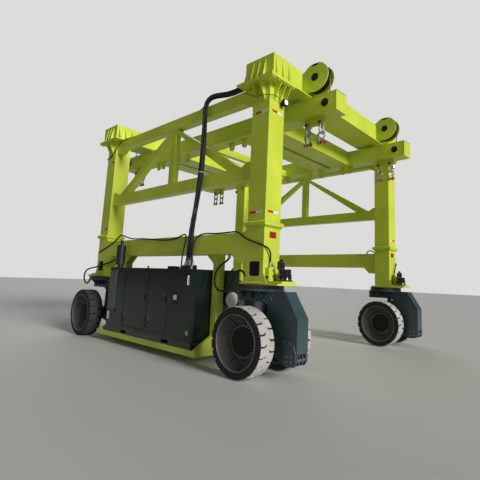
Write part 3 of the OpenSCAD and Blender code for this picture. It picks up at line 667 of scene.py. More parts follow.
@dataclass(frozen=True)
class LampLens:
    """Fluted polycarbonate lens of a lit work lamp: near white and bright, its flutes flute_mm a radian."""

    name: str = "lit_lamp_lens"
    colour: str = "#fffdf4"
    valley: str = "#d8dde0"
    flute_mm: float = 12.0
    glow: float = 2.5

    def build(self) -> bpy.types.Material:
        """Shades the glow by the flutes of the lens."""
        material, add = new_material(self.name)
        place = add("TexCoord").outputs["Object"]
        flutes = add("TexWave", {"Scale": WAVE / self.flute_mm, "bands_direction": "Z"}, {"Vector": place})
        colour = add("Mix", {"data_type": "RGBA", 6: linear(self.colour), 7: linear(self.valley)},
                     {0: flutes.outputs["Fac"]})
        return shaded(material, colour, {"Roughness": 0.12, "Emission Strength": self.glow})


class Finish(Enum):
    """Every finish on the machine."""

    LIME = SprayedEnamel("lime_enamel", "#d2e048", "#c0cf3c", dust_top=2.6, dust_share=0.25)
    BOGIE = SprayedEnamel("petrol_enamel", "#364b50", "#2a3c40", dust_top=1.4, dust_share=0.20, roughness=0.42)
    CANOPY = SprayedEnamel("bottle_green_gloss", "#0a1b17", "#081512", roughness=0.22, coat=0.0, dust_share=0.06)
    BLACK = SprayedEnamel("black_enamel", "#151516", "#1d1d1e", roughness=0.4, dust_share=0.4)
    RIM = SprayedEnamel("dusty_rim_primer", "#45443f", "#33322e", dust_top=1.3, dust_share=0.45, roughness=0.65,
                        coat=0.0)
    WHITE = SprayedEnamel("white_gloss_enamel", "#e8e9ea", "#dfe0e2", roughness=0.25, dust_share=0.1)
    RED = SprayedEnamel("red_enamel", "#b5231b", "#8f1a15", roughness=0.35, dust_share=0.1)
    GREY = SprayedEnamel("grey_green_enamel", "#6d7a74", "#5c6863", roughness=0.35, dust_share=0.2)
    GLOSS_BLACK = SprayedEnamel("black_gloss_enamel", "#0f0f10", "#171718", roughness=0.14, coat=0.7,
                                dust_share=0.05)
    RING_PRIMER = SprayedEnamel("oxide_ring_primer", "#2b1e1b", "#1b1413", roughness=0.38, coat=0.2, dust_share=0.1)
    # Pale: rubbed bare on the rim lips, and a painted highlight on the weld rings.
    RIM_WEAR_AND_HIGHLIGHT = SprayedEnamel("rubbed_rim_primer_and_highlight", "#8b8a84", "#6d6c66", roughness=0.5, dust_share=0.2)
    # Paler than the bogie paint: a painted highlight on the upper edges of the yokes.
    EDGE_HIGHLIGHT_PAINT = SprayedEnamel("painted_edge_highlight_enamel", "#6f8086", "#4d5c61", dust_share=0.3)
    PALE_GREEN = SprayedEnamel("pale_green_film", "#9fce8f", "#90c07f", roughness=0.3, dust_share=0.1)
    DISPLAY = SprayedEnamel("blue_white_screen", "#c3dce0", "#a9ccd4", roughness=0.1, dust_share=0.05)
    TYRE = SolidTyreRubber()
    # Rear tyres: their darker tread colour is painted shade, not dust.
    TYRE_REAR_PAINTED_SHADE = SolidTyreRubber("solid_tyre_rubber_rear_painted_shade", dust="#403e3b")
    ZINC = WorkedSteel("hot_dip_zinc", "#d2d5d7", "#a4a7a9", 14.0)
    TURNED = WorkedSteel("turned_steel", "#8f9092", "#5f6062", 9.0, roughness=0.34)
    ROPE = WorkedSteel("laid_wire_rope", "#a5a49e", "#56554f", 14.0, roughness=0.5, stretch=(1.0, 1.0, 0.45))
    IRON = WorkedSteel("cast_iron_black", "#131314", "#1e1d1c", 10.0, roughness=0.55, metallic=0.2)
    HOSE = Elastomer("hose_rubber", "#141414", "#232323")
    PLASTIC = Elastomer("black_moulding", "#161616", "#242424", pitch_mm=30.0, roughness=0.45)
    GLASS = Elastomer("smoked_glass", "#0c1013", "#131a1e", pitch_mm=400.0, roughness=0.06)
    NYLON = Elastomer("white_nylon", "#dedbd2", "#c9c6bd", roughness=0.5)
    TAPE_RED = PrismaticTape("red_reflective_film", "#c0241c", "#e0473c")
    TAPE_WHITE = PrismaticTape("white_reflective_film", "#d6d8d9", "#ffffff")
    LENS = LampLens()


# Pieces


@dataclass
class Workshop:
    """Turns surfaces into finished pieces that ride on the CAD bodies."""

    nodes: dict
    built: dict = field(default_factory=dict)
    count: int = 0

    def material(self, finish: Finish) -> bpy.types.Material:
        """The Blender material of a finish, made at its first use."""
        if finish not in self.built:
            self.built[finish] = finish.value.build()
        return self.built[finish]

    def piece(self, name: str, surface: Surface, finish: Finish, body: str = "chassis", slot: str | None = None,
              smooth_deg: float = 35.0) -> bpy.types.Object:
        """Makes a mesh object with its doubles merged, its faces outwards and its finish on.

        Args:
            name: The piece's name.
            surface: Its shape, in place.
            finish: Its finish.
            body: The CAD body that it rides on, or empty for a piece on no body.
            slot: Not used.
            smooth_deg: Edges flatter than this are shaded smooth.

        Returns:
            The object.
        """
        mesh = bpy.data.meshes.new(name)
        mesh.from_pydata(surface.points, [], surface.quads)
        if surface.tone is not None:
            tone = mesh.attributes.new("tone", "FLOAT", "POINT")
            tone.data.foreach_set("value", surface.tone.astype(np.float32))
        shape = bmesh.new()
        shape.from_mesh(mesh)
        bmesh.ops.remove_doubles(shape, verts=shape.verts, dist=MERGE)
        bmesh.ops.dissolve_degenerate(shape, edges=shape.edges, dist=MERGE)
        bmesh.ops.recalc_face_normals(shape, faces=shape.faces)
        shape.to_mesh(mesh)
        shape.free()
        mesh.polygons.foreach_set("use_smooth", np.ones(len(mesh.polygons), bool))
        mesh.set_sharp_from_angle(angle=math.radians(smooth_deg))
        mesh.materials.append(self.material(finish))
        thing = bpy.data.objects.new(name, mesh)
        bpy.context.scene.collection.objects.link(thing)
        if body:
            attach(thing, body)
        self.count += 1
        log.info("%s: %d faces, %s, on %s", name, len(mesh.polygons), finish.name.lower(), body)
        return thing

    def hose(self, name: str, path: Array, radius: float, ends: tuple[bool, bool] = (True, True),
             stiffness: str = "stiff") -> bpy.types.Object:
        """Args:
            name: The hose's name.
            path: Its centre line, from where it leaves the machine to where it goes back in.
            radius: Its radius.
            ends: Whether its start and its end have a coupling.
            stiffness: Not used.

        Returns:
            The hose.
        """
        thing = self.piece(name, tube(path, radius), Finish.HOSE, slot="hose_rubber", smooth_deg=60)
        near = ((path[0], path[1] - path[0]), (path[-1], path[-2] - path[-1]))
        shapes = [coupling(radius).turned(facing(way)).moved(place)
                  for (place, way), wanted in zip(near, ends) if wanted]
        if shapes:
            self.piece(name + "_couplings", Surface.join(shapes), Finish.ZINC, slot="galvanised")
        return thing

    def coat(self, finish: Finish, *names: str) -> None:
        """Gives CAD nodes a finish, in place of their own.

        Args:
            finish: Their finish.
            names: The nodes, or the starts of the names of several alike.
        """
        for node, thing in self.nodes.items():
            if node.startswith(names):
                thing.data.materials.clear()
                thing.data.materials.append(self.material(finish))


@dataclass(frozen=True)
class Wheels:
    """Eight solid tyres with staggered shoulder grooves, and the fasteners of their rims."""

    tyre_r: float = 0.610
    rim_r: float = 0.483
    out: float = 0.720
    inner: float = 0.360
    grooves: int = 20
    depth: float = 0.036
    groove_w: float = 0.0155
    groove_l: float = 0.148
    groove_low: float = 0.545
    groove_full: float = 0.590
    hook: float = 0.030
    hook_from: float = 0.62
    shoulder: float = 0.012
    nuts: tuple[float, int, float, float] = (0.272, 27, 0.2150, 6.7)
    hub_r: float = 0.236
    hub_depth: float = 0.176
    lip_r: float = 0.468
    weld_ring: Pair = (0.360, 0.137)
    rows: Row = (0.031, 0.045, 0.062, 0.080, 0.094, 0.106, 0.116, 0.126, 0.135, 0.142, 0.1465, 0.1495, 0.156, 0.168)
    steps: Row = (-0.038, -0.028, -0.021, -0.0165, -0.0150, -0.008, 0.0, 0.008, 0.0150, 0.0165, 0.021, 0.027, 0.033,
                  0.039, 0.0445, 0.049)

    @property
    def half_width(self) -> float:
        """Half the width of a tyre."""
        return (self.out - self.inner) / 2

    def profile(self) -> Array:
        """Flat tread with round shoulders between two sidewalls, as (radius, place across) from bead to bead."""
        half = self.half_width
        wall = np.array([(self.rim_r, -half), (self.rim_r + 0.012, -half + 0.001), (0.520, -half + 0.004),
                         (0.548, -half + 0.002), (0.560, -half + 0.003), (0.580, -half + 0.006),
                         (0.594, -half + 0.010), (0.602, -half + 0.016), (0.606, -half + 0.023)])
        near = np.array(self.rows) - half
        across = np.concatenate([near, [0.0], -near[::-1]])
        crown = np.stack([self.tyre_r - 0.003 * (across / half) ** 2, across], 1)
        return np.concatenate([wall, crown, wall[::-1] * (1, -1)])

    def columns(self) -> Array:
        """Angles of the profile's copies, closest where the walls of a groove stand (1, columns)."""
        pitch = 2 * np.pi / self.grooves
        one = np.array(self.steps) / self.tyre_r
        return (np.arange(2 * self.grooves)[:, None] * pitch / 2 + one[None]).reshape(1, -1)

    def off_groove(self, turn: Array, across: Array) -> Array:
        """Distance of each point from the nearest groove's edge, less than nothing inside it.

        A groove of either side is a band square to the tread whose centre line steps sideways near its
        inner end and widens there, and the two sides are half a pitch apart.

        Args:
            turn: Angles round the axle (1, columns).
            across: Places across the tyre (rows, 1).

        Returns:
            The distances (rows, columns).
        """
        pitch = 2 * np.pi / self.grooves
        reach = self.half_width - np.abs(across)
        inner_end = np.clip((reach / self.groove_l - self.hook_from) / (1 - self.hook_from), 0, 1)
        centre = self.hook * inner_end ** 1.5 / self.tyre_r
        stagger = np.where(across > 0, pitch / 2, 0)
        away = np.abs((turn - centre - stagger + pitch / 2) % pitch - pitch / 2) * self.tyre_r
        width = self.groove_w * (1 + 0.25 * np.sin(np.pi * inner_end))
        return np.maximum(away - width, reach - self.groove_l)

    def tyre(self) -> Surface:
        """One tyre about the y axis: the profile turned, with its radius lowered inside the grooves."""
        shape = self.profile()
        turn = self.columns()
        radius, across = shape[:, :1], shape[:, 1:]
        off = self.off_groove(turn, across)
        height = np.clip((radius - self.groove_low) / (self.groove_full - self.groove_low), 0, 1)
        r = radius - self.depth * np.clip(-off / 0.0015, 0, 1) * height
        points = np.stack([r * np.cos(turn), np.broadcast_to(across, r.shape), r * np.sin(turn)], -1)
        surface = lattice(np.concatenate([points, points[:1]]))
        reach = np.broadcast_to(self.half_width - np.abs(across), off.shape)
        worn = np.clip(0.5 + np.minimum(reach - self.shoulder, off + 0.002) / 0.02, 0, 1)
        surface.tone = np.concatenate([worn, worn[:1]]).reshape(-1)
        return surface

    def fasteners(self) -> Surface:
        """Wheel nuts on a circle of the dish."""
        radius, count, depth, start_deg = self.nuts
        return hexagon_bolt(0.0115, 0.017).scattered(circle(radius, count, self.out - depth, start_deg))

    def hub(self) -> Surface:
        """Hub cap, z = rise (1 - (r / hub_r)^2), on the disc of the dish, with three screws near its edge."""
        z, edge = self.out - self.hub_depth, self.hub_r + 0.004
        r = np.linspace(0, self.hub_r, 12)
        dome = list(zip(r, z + 0.002 + 0.012 * (1 - (r / self.hub_r) ** 2)))
        cap = lathe([*dome, (edge, z - 0.002), (edge, z - 0.012), (0, z - 0.012)], 72)
        return Surface.join([cap, hexagon_bolt(0.007, 0.006).scattered(circle(self.hub_r - 0.020, 3, z + 0.003, 40))])

    def lip(self) -> Surface:
        """Rubbed round edge of the rim's lip, and the weld ring half way down its cone, pale as a painted highlight.
        """
        radius, depth = self.weld_ring
        weld = bead(circle(radius, 96, self.out - depth), 0.0045, 6)
        return Surface.join([bead(circle(self.lip_r, 96, self.out - 0.005), 0.006, 8), weld])

    def build(self, shop: Workshop) -> None:
        """Replaces the tyre nodes of each bogie and adds its nuts, hub caps and bright lips."""
        middle = (self.out + self.inner) / 2
        one = self.tyre()
        pair = Surface.join([one.moved((0, -middle, 0)), one.moved((0, middle, 0), (1, -1, 1))])
        for corner in Corner:
            place = np.add(corner.place, (LAYOUT.trail, 0, LAYOUT.axle_z))
            body = "wheels_" + corner.label
            # The rear tyres get the copy whose darker tread is painted shade.
            rubber = Finish.TYRE if corner.signs[0] > 0 else Finish.TYRE_REAR_PAINTED_SHADE
            tyres = shop.piece("solid_tyres_" + corner.label, pair.moved(place), rubber, body, "tyre", 50)
            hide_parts("tyres_" + corner.label)
            for name, part, finish in (("wheel_nuts_", self.fasteners(), Finish.ZINC),
                                       ("hub_caps_", self.hub(), Finish.IRON),
                                       # The lips are rubbed bare; the pale weld ring is a painted highlight.
                                       ("rim_lips_", self.lip(), Finish.RIM_WEAR_AND_HIGHLIGHT)):
                both = Surface.join([part.turned(TO_MINUS_Y), part.turned(TO_Y)]).moved(place)
                shop.piece(name + corner.label, both, finish, body)


@dataclass(frozen=True)
class LegFittings:
    """Bolts, weld beads, reflective films, work lamps and inspection windows of the four legs.

    Places are drawn about a leg's foot with +x and -y outwards, and carried to all four legs.
    """

    bolt_r: float = 0.018
    bolt_h: float = 0.021
    joint_half: Pair = (0.2495, 0.2575)
    joint_count: int = 7
    seat: Place = (-0.444, 0.4125, -0.390)
    seat_side: Row = (-0.330, -0.180, -0.010, 0.120, 0.265)
    seat_end: Row = (-0.190, -0.045, 0.060, 0.225, 0.330, 0.4125)
    seat_inner: Row = (-0.390, -0.170, 0.030, 0.230)
    seat_t: float = 0.032
    base_rows: Place = (-0.260, 0.200, 0.272)
    weld_r: float = 0.006
    film: Place = (0.155, 0.050, 0.0022)
    films_y: Pairs = ((-0.016, 2.955), (0.017, 4.968))
    films_x: Pairs = ((0.005, 2.972), (0.022, 4.988))
    card: tuple[float, float, float, float] = (-0.080, 0.113, 2.472, 2.592)
    lamp: Place = (0.351, 0.130, 5.210)
    lamp_half: float = 0.055
    window_z: float = 1.8865
    window_half: Pair = (0.133, 0.1345)

    def joint_bolts(self) -> Surface:
        """Bolt heads above and nuts below the flanged joint of leg and foot."""
        top = LAYOUT.joint_z + LAYOUT.flange_t
        heads = hexagon_bolt(self.bolt_r, self.bolt_h).scattered(around(*self.joint_half, self.joint_count, top))
        nuts = hexagon_bolt(self.bolt_r, 1.3 * self.bolt_h).turned(TO_MINUS_Z)
        low = LAYOUT.joint_z - LAYOUT.flange_t
        return Surface.join([heads, nuts.scattered(around(*self.joint_half, self.joint_count, low))])

    def seat_bolts(self) -> Surface:
        """Bolts along the outer edges of the head seats, heads above and nuts below."""
        inner_x, outer_x, outer_y = self.seat
        side = [(outer_x, y, 0) for y in self.seat_side]
        end = [(x, outer_y, 0) for x in self.seat_end]
        inner = [(inner_x, y, 0) for y in self.seat_inner]
        head, nut = hexagon_bolt(self.bolt_r, self.bolt_h), hexagon_bolt(self.bolt_r, 1.6 * self.bolt_h)
        above, below = (0, 0, LAYOUT.head_z + self.seat_t), (0, 0, LAYOUT.head_z - self.seat_t)
        return Surface.join([head.scattered(np.array(side + end + inner) + above),
                             nut.turned(TO_MINUS_Z).scattered(np.array(side + end) + below)])

    def base_bolts(self) -> Surface:
        """Rows of bolts through the base plate into the slewing ring, along both of its long edges."""
        x0, x1, edge = self.base_rows
        rows = [along((x0, y, LAYOUT.base_top), (x1, y, LAYOUT.base_top), 8) for y in (-edge, edge)]
        return hexagon_bolt(0.012, 0.014).scattered(np.concatenate(rows))

    def welds(self) -> Surface:
        """Fillet beads where the legs and feet meet their plates."""
        outline = centred(LAYOUT.leg_x / 2, LAYOUT.leg_y / 2)
        heights = (LAYOUT.joint_z + LAYOUT.flange_t, LAYOUT.joint_z - LAYOUT.flange_t, LAYOUT.base_top,
                   LAYOUT.head_z - self.seat_t)
        return Surface.join([bead(flat_loop(outline, z), self.weld_r, 8) for z in heights])

    def films(self, white: bool) -> Surface:
        """The white or the red halves of the reflective films on the outer faces.

        Args:
            white: Whether the white halves are meant.

        Returns:
            Thin plates.
        """
        length, height, thick = self.film
        a, b, half = 0 if white else -length, length if white else 0, height / 2
        x, y, sunk = LAYOUT.leg_x / 2, -LAYOUT.leg_y / 2, 0.001
        boxes = [((at + a, y - thick, z - half), (at + b, y + sunk, z + half)) for at, z in self.films_y]
        boxes += [((x - sunk, at + a, z - half), (x + thick, at + b, z + half)) for at, z in self.films_x]
        return Surface.join([slab(low, high, 0.0008) for low, high in boxes])

    def card_plate(self) -> Surface:
        """Bare plate with rounded corners on the outer X face of the foot."""
        y0, y1, z0, z1 = self.card
        return prism(rectangle(y0, z0, y1, z1, 0.012), 0, 0.003, 0.001).turned(TO_X).moved((LAYOUT.leg_x / 2, 0, 0))

    def lamp_body(self) -> Surface:
        """Bezel with a rounded rim, eight cooling fins behind it, and the yoke that holds the lamp."""
        half, fin, arm = self.lamp_half, self.lamp_half + 0.004, self.lamp_half + 0.007
        rim = flat_loop(centred(half - 0.006, half - 0.006, 0.012), 0.002)
        fins = slab((-fin, -fin, -0.0015), (fin, fin, 0.0015), 0.001)
        arms = slab((-0.003, -0.014, -0.080), (0.003, 0.014, -0.010), 0.001)
        back = slab((-half - 0.010, -0.014, -0.086), (half + 0.010, 0.014, -0.079), 0.001)
        return Surface.join([bead(rim, 0.006, 8), fins.scattered(along((0, 0, -0.062), (0, 0, -0.013), 8)),
                             arms.scattered([(-arm, 0, 0), (arm, 0, 0)]), back]).turned(TO_X).moved(self.lamp)

    def lens(self) -> Surface:
        """Shallow domed square: z = rise (1 - (2x/w)^4) (1 - (2y/w)^4) over a grid, on a flat back."""
        half, rise, edge = self.lamp_half - 0.008, 0.008, 0.002
        grid = np.linspace(-half, half, 13)
        x, y = np.meshgrid(grid, grid, indexing="ij")
        z = edge + rise * (1 - (x / half) ** 4) * (1 - (y / half) ** 4)
        sheets = [lattice(np.stack([x, y, height], -1), round_v=False)
                  for height in (z, np.where(z > edge + 0.0001, -edge, z))]
        return Surface.join(sheets).turned(TO_X).moved(self.lamp)

    def window(self) -> tuple[Surface, Surface]:
        """Smoked panel of the foot's inspection window, and the rubber bead that holds it."""
        outline = centred(*self.window_half, 0.043, 8)
        place = (0, -LAYOUT.leg_y / 2 + 0.018, self.window_z)
        pane = prism(outline, -0.008, 0, 0.001).turned(TO_MINUS_Y).moved(place)
        gasket = bead(flat_loop(outline, 0.002), 0.007, 8).turned(TO_MINUS_Y).moved(place)
        return pane, gasket

    def build(self, shop: Workshop) -> None:
        """Makes each kind of fitting as one piece over all four legs."""
        pane, gasket = self.window()
        for name, shape, finish, slot in (
                ("joint_bolts", self.joint_bolts(), Finish.LIME, "frame_paint"),
                ("seat_bolts", self.seat_bolts(), Finish.LIME, "frame_paint"),
                ("base_plate_bolts", self.base_bolts(), Finish.LIME, "frame_paint"),
                ("leg_weld_beads", self.welds(), Finish.LIME, "frame_paint"),
                ("red_reflective_films", self.films(False), Finish.TAPE_RED, None),
                ("white_reflective_films", self.films(True), Finish.TAPE_WHITE, None),
                ("bare_red_plates", self.card_plate(), Finish.RED, None),
                ("lamp_housings", self.lamp_body(), Finish.PLASTIC, "lamp_housing"),
                ("lamp_lenses", self.lens(), Finish.LENS, None),
                ("foot_window_panes", pane, Finish.GLASS, None),
                ("foot_window_gaskets", gasket, Finish.PLASTIC, None)):
            shop.piece(name, shape.at_all_corners(), finish, slot=slot)


@dataclass(frozen=True)
class PlateEdges:
    """Edges of the flange plates that stand a little proud of the webs on the box beams."""

    proud: float = 0.010
    sunk: float = 0.002
    thick: float = 0.014
    head_x: Pair = (2.654, 3.398)
    head_low: float = 5.622
    head_clear: float = 2.300
    cross_half: float = 0.275
    cross_reach: float = 1.530

    def strips(self, faces: Sequence[float], half: float, z: float) -> list[Surface]:
        """Strips along y on faces square to x, each pair of faces a web whose outer sides carry one.

        Args:
            faces: The x of the faces, low and high side of a web in turn.
            half: Half the length of a strip.
            z: Height of the strips' lower sides.

        Returns:
            The strips, in the order of the faces.
        """
        reach = [sorted((x - s * self.sunk, x + s * self.proud)) for x, s in zip(faces, (-1, 1) * (len(faces) // 2))]
        return [slab((x0, -half, z), (x1, half, z + self.thick), 0.002) for x0, x1 in reach]

    def head_edges(self) -> Surface:
        """Strips along the lower edges of both head beams, between their seats."""
        inner, outer = self.strips(self.head_x, self.head_clear, self.head_low)
        return Surface.join([outer, inner]).both_ends()

    def lift_edges(self) -> Surface:
        """Strips along the upper and lower edges of the lifting beams."""
        half, reach = LAYOUT.lift_w / 2, LAYOUT.lift_reach - 0.002
        sides = (sorted((s * (half - self.sunk), s * (half + self.proud))) for s in (-1, 1))
        low = Surface.join([slab((-reach, y0, 0), (reach, y1, self.thick), 0.002) for y0, y1 in sides])
        return low.scattered([(0, 0, LAYOUT.lift_low), (0, 0, LAYOUT.lift_top - self.thick)]).both_frames()

    def cross_edges(self) -> Surface:
        """Strips along the edges of the cross beams."""
        faces = [x + s * self.cross_half for x in LAYOUT.cross_x for s in (-1, 1)]
        places = [(0, 0, LAYOUT.lift_low), (0, 0, LAYOUT.lift_top - self.thick)]
        strips = [strip.scattered(places) for strip in self.strips(faces, self.cross_reach, 0)]
        return Surface.join(strips).both_ends()

    def build(self, shop: Workshop) -> None:
        """Makes the strips of the chassis and of the lifting frame."""
        for name, shape, body in (("head_beam", self.head_edges(), "chassis"),
                                  ("lift_beam", self.lift_edges(), "lift_frame"),
                                  ("cross_beam", self.cross_edges(), "lift_frame")):
            shop.piece(name + "_flange_edges", shape, Finish.LIME, body, "frame_paint")


@dataclass(frozen=True)
class SteeringDrives:
    """Hydraulic motors on planetary gear cases over the base plates, with a valve block beside each."""

    case: Pairs = (
        (0, 0), (0.150, 0), (0.150, 0.021), (0.146, 0.025), (0.131, 0.025), (0.128, 0.032), (0.128, 0.100),
        (0.1335, 0.106), (0.1335, 0.122), (0.128, 0.128), (0.120, 0.134), (0.120, 0.192), (0.1235, 0.196),
        (0.1235, 0.210), (0.118, 0.216), (0, 0.216))
    screw: Pairs = ((0.0068, 0), (0.0068, 0.009), (0.0058, 0.010), (0.0036, 0.010), (0.0034, 0.005), (0, 0.005))
    screw_rings: tuple[tuple[float, int, float, float], ...] = ((0.1415, 20, 0.025, 0), (0.108, 12, 0.216, 15),
                                                                (0.050, 5, 0.345, 36))
    motor: Pair = (-0.050, -0.045)
    lobe_r: float = 0.064
    lobe_rise: float = 0.011
    valve_low: Place = (0.224, -0.165, 1.672)
    valve_high: Place = (0.318, -0.015, 1.915)
    port: Pair = (0.250, -0.062)

    def screws(self) -> Surface:
        """Socket screws round the flange and the top of the case, and round the top of the motor."""
        screw = lathe(self.screw, 12)
        flange, case, motor = (circle(*ring) for ring in self.screw_rings)
        return screw.scattered(np.concatenate([flange, case, motor + (*self.motor, 0)]))

    def motor_body(self) -> Surface:
        """Five-lobed motor, r = lobe_r + lobe_rise cos 5t, its end cover, port block and two port adaptors."""
        turn = np.linspace(0, 2 * np.pi, 80, endpoint=False)
        r = self.lobe_r + self.lobe_rise * np.cos(5 * turn)
        lobes = prism(np.stack([r * np.cos(turn), r * np.sin(turn)], 1), 0.214, 0.345, 0.005)
        cover = lathe([(0, 0.340), (0.044, 0.340), (0.044, 0.366), (0.036, 0.374), (0, 0.376)], 40)
        block = slab((-0.032, -0.068, 0.290), (0.032, -0.050, 0.360), 0.004)
        adaptor = hexagon_bolt(0.015, 0.030)
        ports = adaptor.scattered([(-0.018, 0.0, 0.374), (0.018, 0.0, 0.374)])
        return Surface.join([lobes, cover, block, ports]).moved((*self.motor, 0))

    def valve(self) -> Surface:
        """Valve block with a pad and a port on its top, in the frame of a leg's foot."""
        x, y = self.port
        top = self.valve_high[2]
        body = slab(self.valve_low, self.valve_high, 0.006)
        step = slab((0.230, -0.158, 1.700), (0.328, -0.090, 1.800), 0.006)
        pad = slab((0.226, -0.112, top - 0.001), (0.310, -0.018, top + 0.014), 0.003)
        collar = lathe([(0, 0), (0.025, 0), (0.025, 0.014), (0, 0.014)], 24).moved((x, y, top + 0.014))
        return Surface.join([body, step, pad, collar])

    def solenoids(self) -> Surface:
        """Two ribbed coils on the outer side of the valve block, and a plug on its end."""
        coil = lathe([(0, 0), (0.019, 0), (0.019, 0.006), (0.017, 0.008), (0.019, 0.010), (0.019, 0.022),
                      (0.012, 0.026), (0.012, 0.030), (0, 0.030)], 24).turned(TO_MINUS_Y)
        plug = lathe([(0, 0), (0.016, 0), (0.016, 0.018), (0.008, 0.024), (0, 0.024)], 20).turned(TO_X)
        return Surface.join([coil.scattered([(x, self.valve_low[1], 1.735) for x in (0.250, 0.295)]),
                             plug.scattered([(self.valve_high[0], -0.050, z) for z in (1.760, 1.860)])])

    def build(self, shop: Workshop) -> None:
        """Replaces the plain motors at all four legs."""
        place = LAYOUT.motor_place
        case = Surface.join([lathe(self.case, 72), self.motor_body()])
        made = [shop.piece(name, shape.at_all_corners(), finish, slot=slot) for name, shape, finish, slot in (
            ("steering_gear_cases", case.moved(place), Finish.GLOSS_BLACK, "motor_black"),
            ("steering_gear_screws", self.screws().moved(place), Finish.ZINC, None),
            ("steering_valves", self.valve(), Finish.LIME, "frame_paint"),
            ("steering_solenoids", self.solenoids(), Finish.PLASTIC, None))]
        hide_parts("steering_motors")


@dataclass(frozen=True)
class BogieFittings:
    """Bolts, cover discs, pins and edge beads of the yokes, drawn about the steering axis."""

    cover: Pair = (0.311, 1.340)
    cover_r: float = 0.068
    cover_y: float = 0.168
    boss_y: float = 0.170
    boss_bolts: Pairs = ((0.773, 0.424), (0.869, 0.439), (0.764, 0.340), (0.872, 0.345))
    boss_edge: Pairs = ((0.700, 0.640), (0.702, 0.668), (0.813, 0.668), (0.920, 0.610),
                         (0.963, 0.500), (0.963, 0.369), (0.940, 0.315))
    clevis: Pair = (0.968, 0.385)
    flange_z: float = 1.488
    flange_bolt_r: float = 0.408

    def bolts(self) -> Surface:
        """Bolts of the cover discs, on both sides of the yoke."""
        x, z = self.cover
        ring = circle(self.cover_r, 4, 0, 45) + (x, z, 0)
        head = hexagon_bolt(0.009, 0.009).scattered(ring)
        centre = lathe([(0, 0.006), (0.020, 0.005), (0.024, 0), (0, 0)], 24).moved((x, z, 0))
        rim = bead(circle(0.088, 48) + (x, z, 0.001), 0.004, 6)
        return Surface.join([head, centre, rim]).turned(STANDING).both_sides(self.cover_y)

    def bright_bolts(self) -> Surface:
        """Zinc bolts on both bosses."""
        places = flat_loop(np.array(self.boss_bolts))
        return hexagon_bolt(0.010, 0.010).scattered(places).turned(STANDING).both_sides(self.boss_y)

    def edges(self) -> Surface:
        """Bead along the upper edge of both bosses, paler than the yoke: a painted highlight of the edge."""
        corners = [np.array((x, 0, z)) for x, z in self.boss_edge]
        path = np.concatenate([along(a, b, 12)[:-1] for a, b in zip(corners, corners[1:])] + [corners[-1:]])
        return tube(path, 0.0035, 8).both_sides(self.boss_y + 0.0005)

    def flange_bolts(self) -> Surface:
        """Ring of bolts under the upper flange, clear of the yoke's plates."""
        places = circle(self.flange_bolt_r, 36, self.flange_z, 5)
        places = places[np.abs(places[:, 1]) > 0.180]
        return hexagon_bolt(0.013, 0.020).turned(TO_MINUS_Z).scattered(places)

    def stiffeners(self) -> Surface:
        """Small triangular ribs under the flange beside the yoke's plates."""
        rib = prism(np.array([(0, 0), (0.150, 0), (0.140, -0.014), (0, -0.150)]), -0.007, 0.007, 0.001)
        return rib.turned(TO_X).scattered([(x, 0.156, self.flange_z) for x in (-0.300, -0.060, 0.180)]).both_sides()

    def pin(self) -> Surface:
        """Pin through the ears at the foot of the yoke, with a head at each end."""
        profile = [(0, -0.128), (0.026, -0.128), (0.030, -0.124), (0.030, -0.114), (0.019, -0.110), (0.019, 0.110),
                   (0.030, 0.114), (0.030, 0.124), (0.026, 0.128), (0, 0.128)]
        return lathe(profile, 24).turned(TO_Y).moved((self.clevis[0], 0, self.clevis[1]))

    def build(self, shop: Workshop) -> None:
        """Puts the same fittings on each of the four bogies."""
        for corner in Corner:
            dark = Surface.join([self.bolts(), self.flange_bolts(), self.stiffeners()])
            bright = Surface.join([self.bright_bolts(), self.pin()])
            for name, shape, finish, slot in (("yoke_covers_", dark, Finish.BOGIE, "bogie_paint"),
                                              ("yoke_pins_", bright, Finish.ZINC, None),
                                              # The edge beads carry a painted highlight.
                                              ("yoke_edge_highlight_beads_", self.edges(), Finish.EDGE_HIGHLIGHT_PAINT, None)):
                shop.piece(name + corner.label, shape.moved(corner.place), finish, "bogie_" + corner.label, slot)


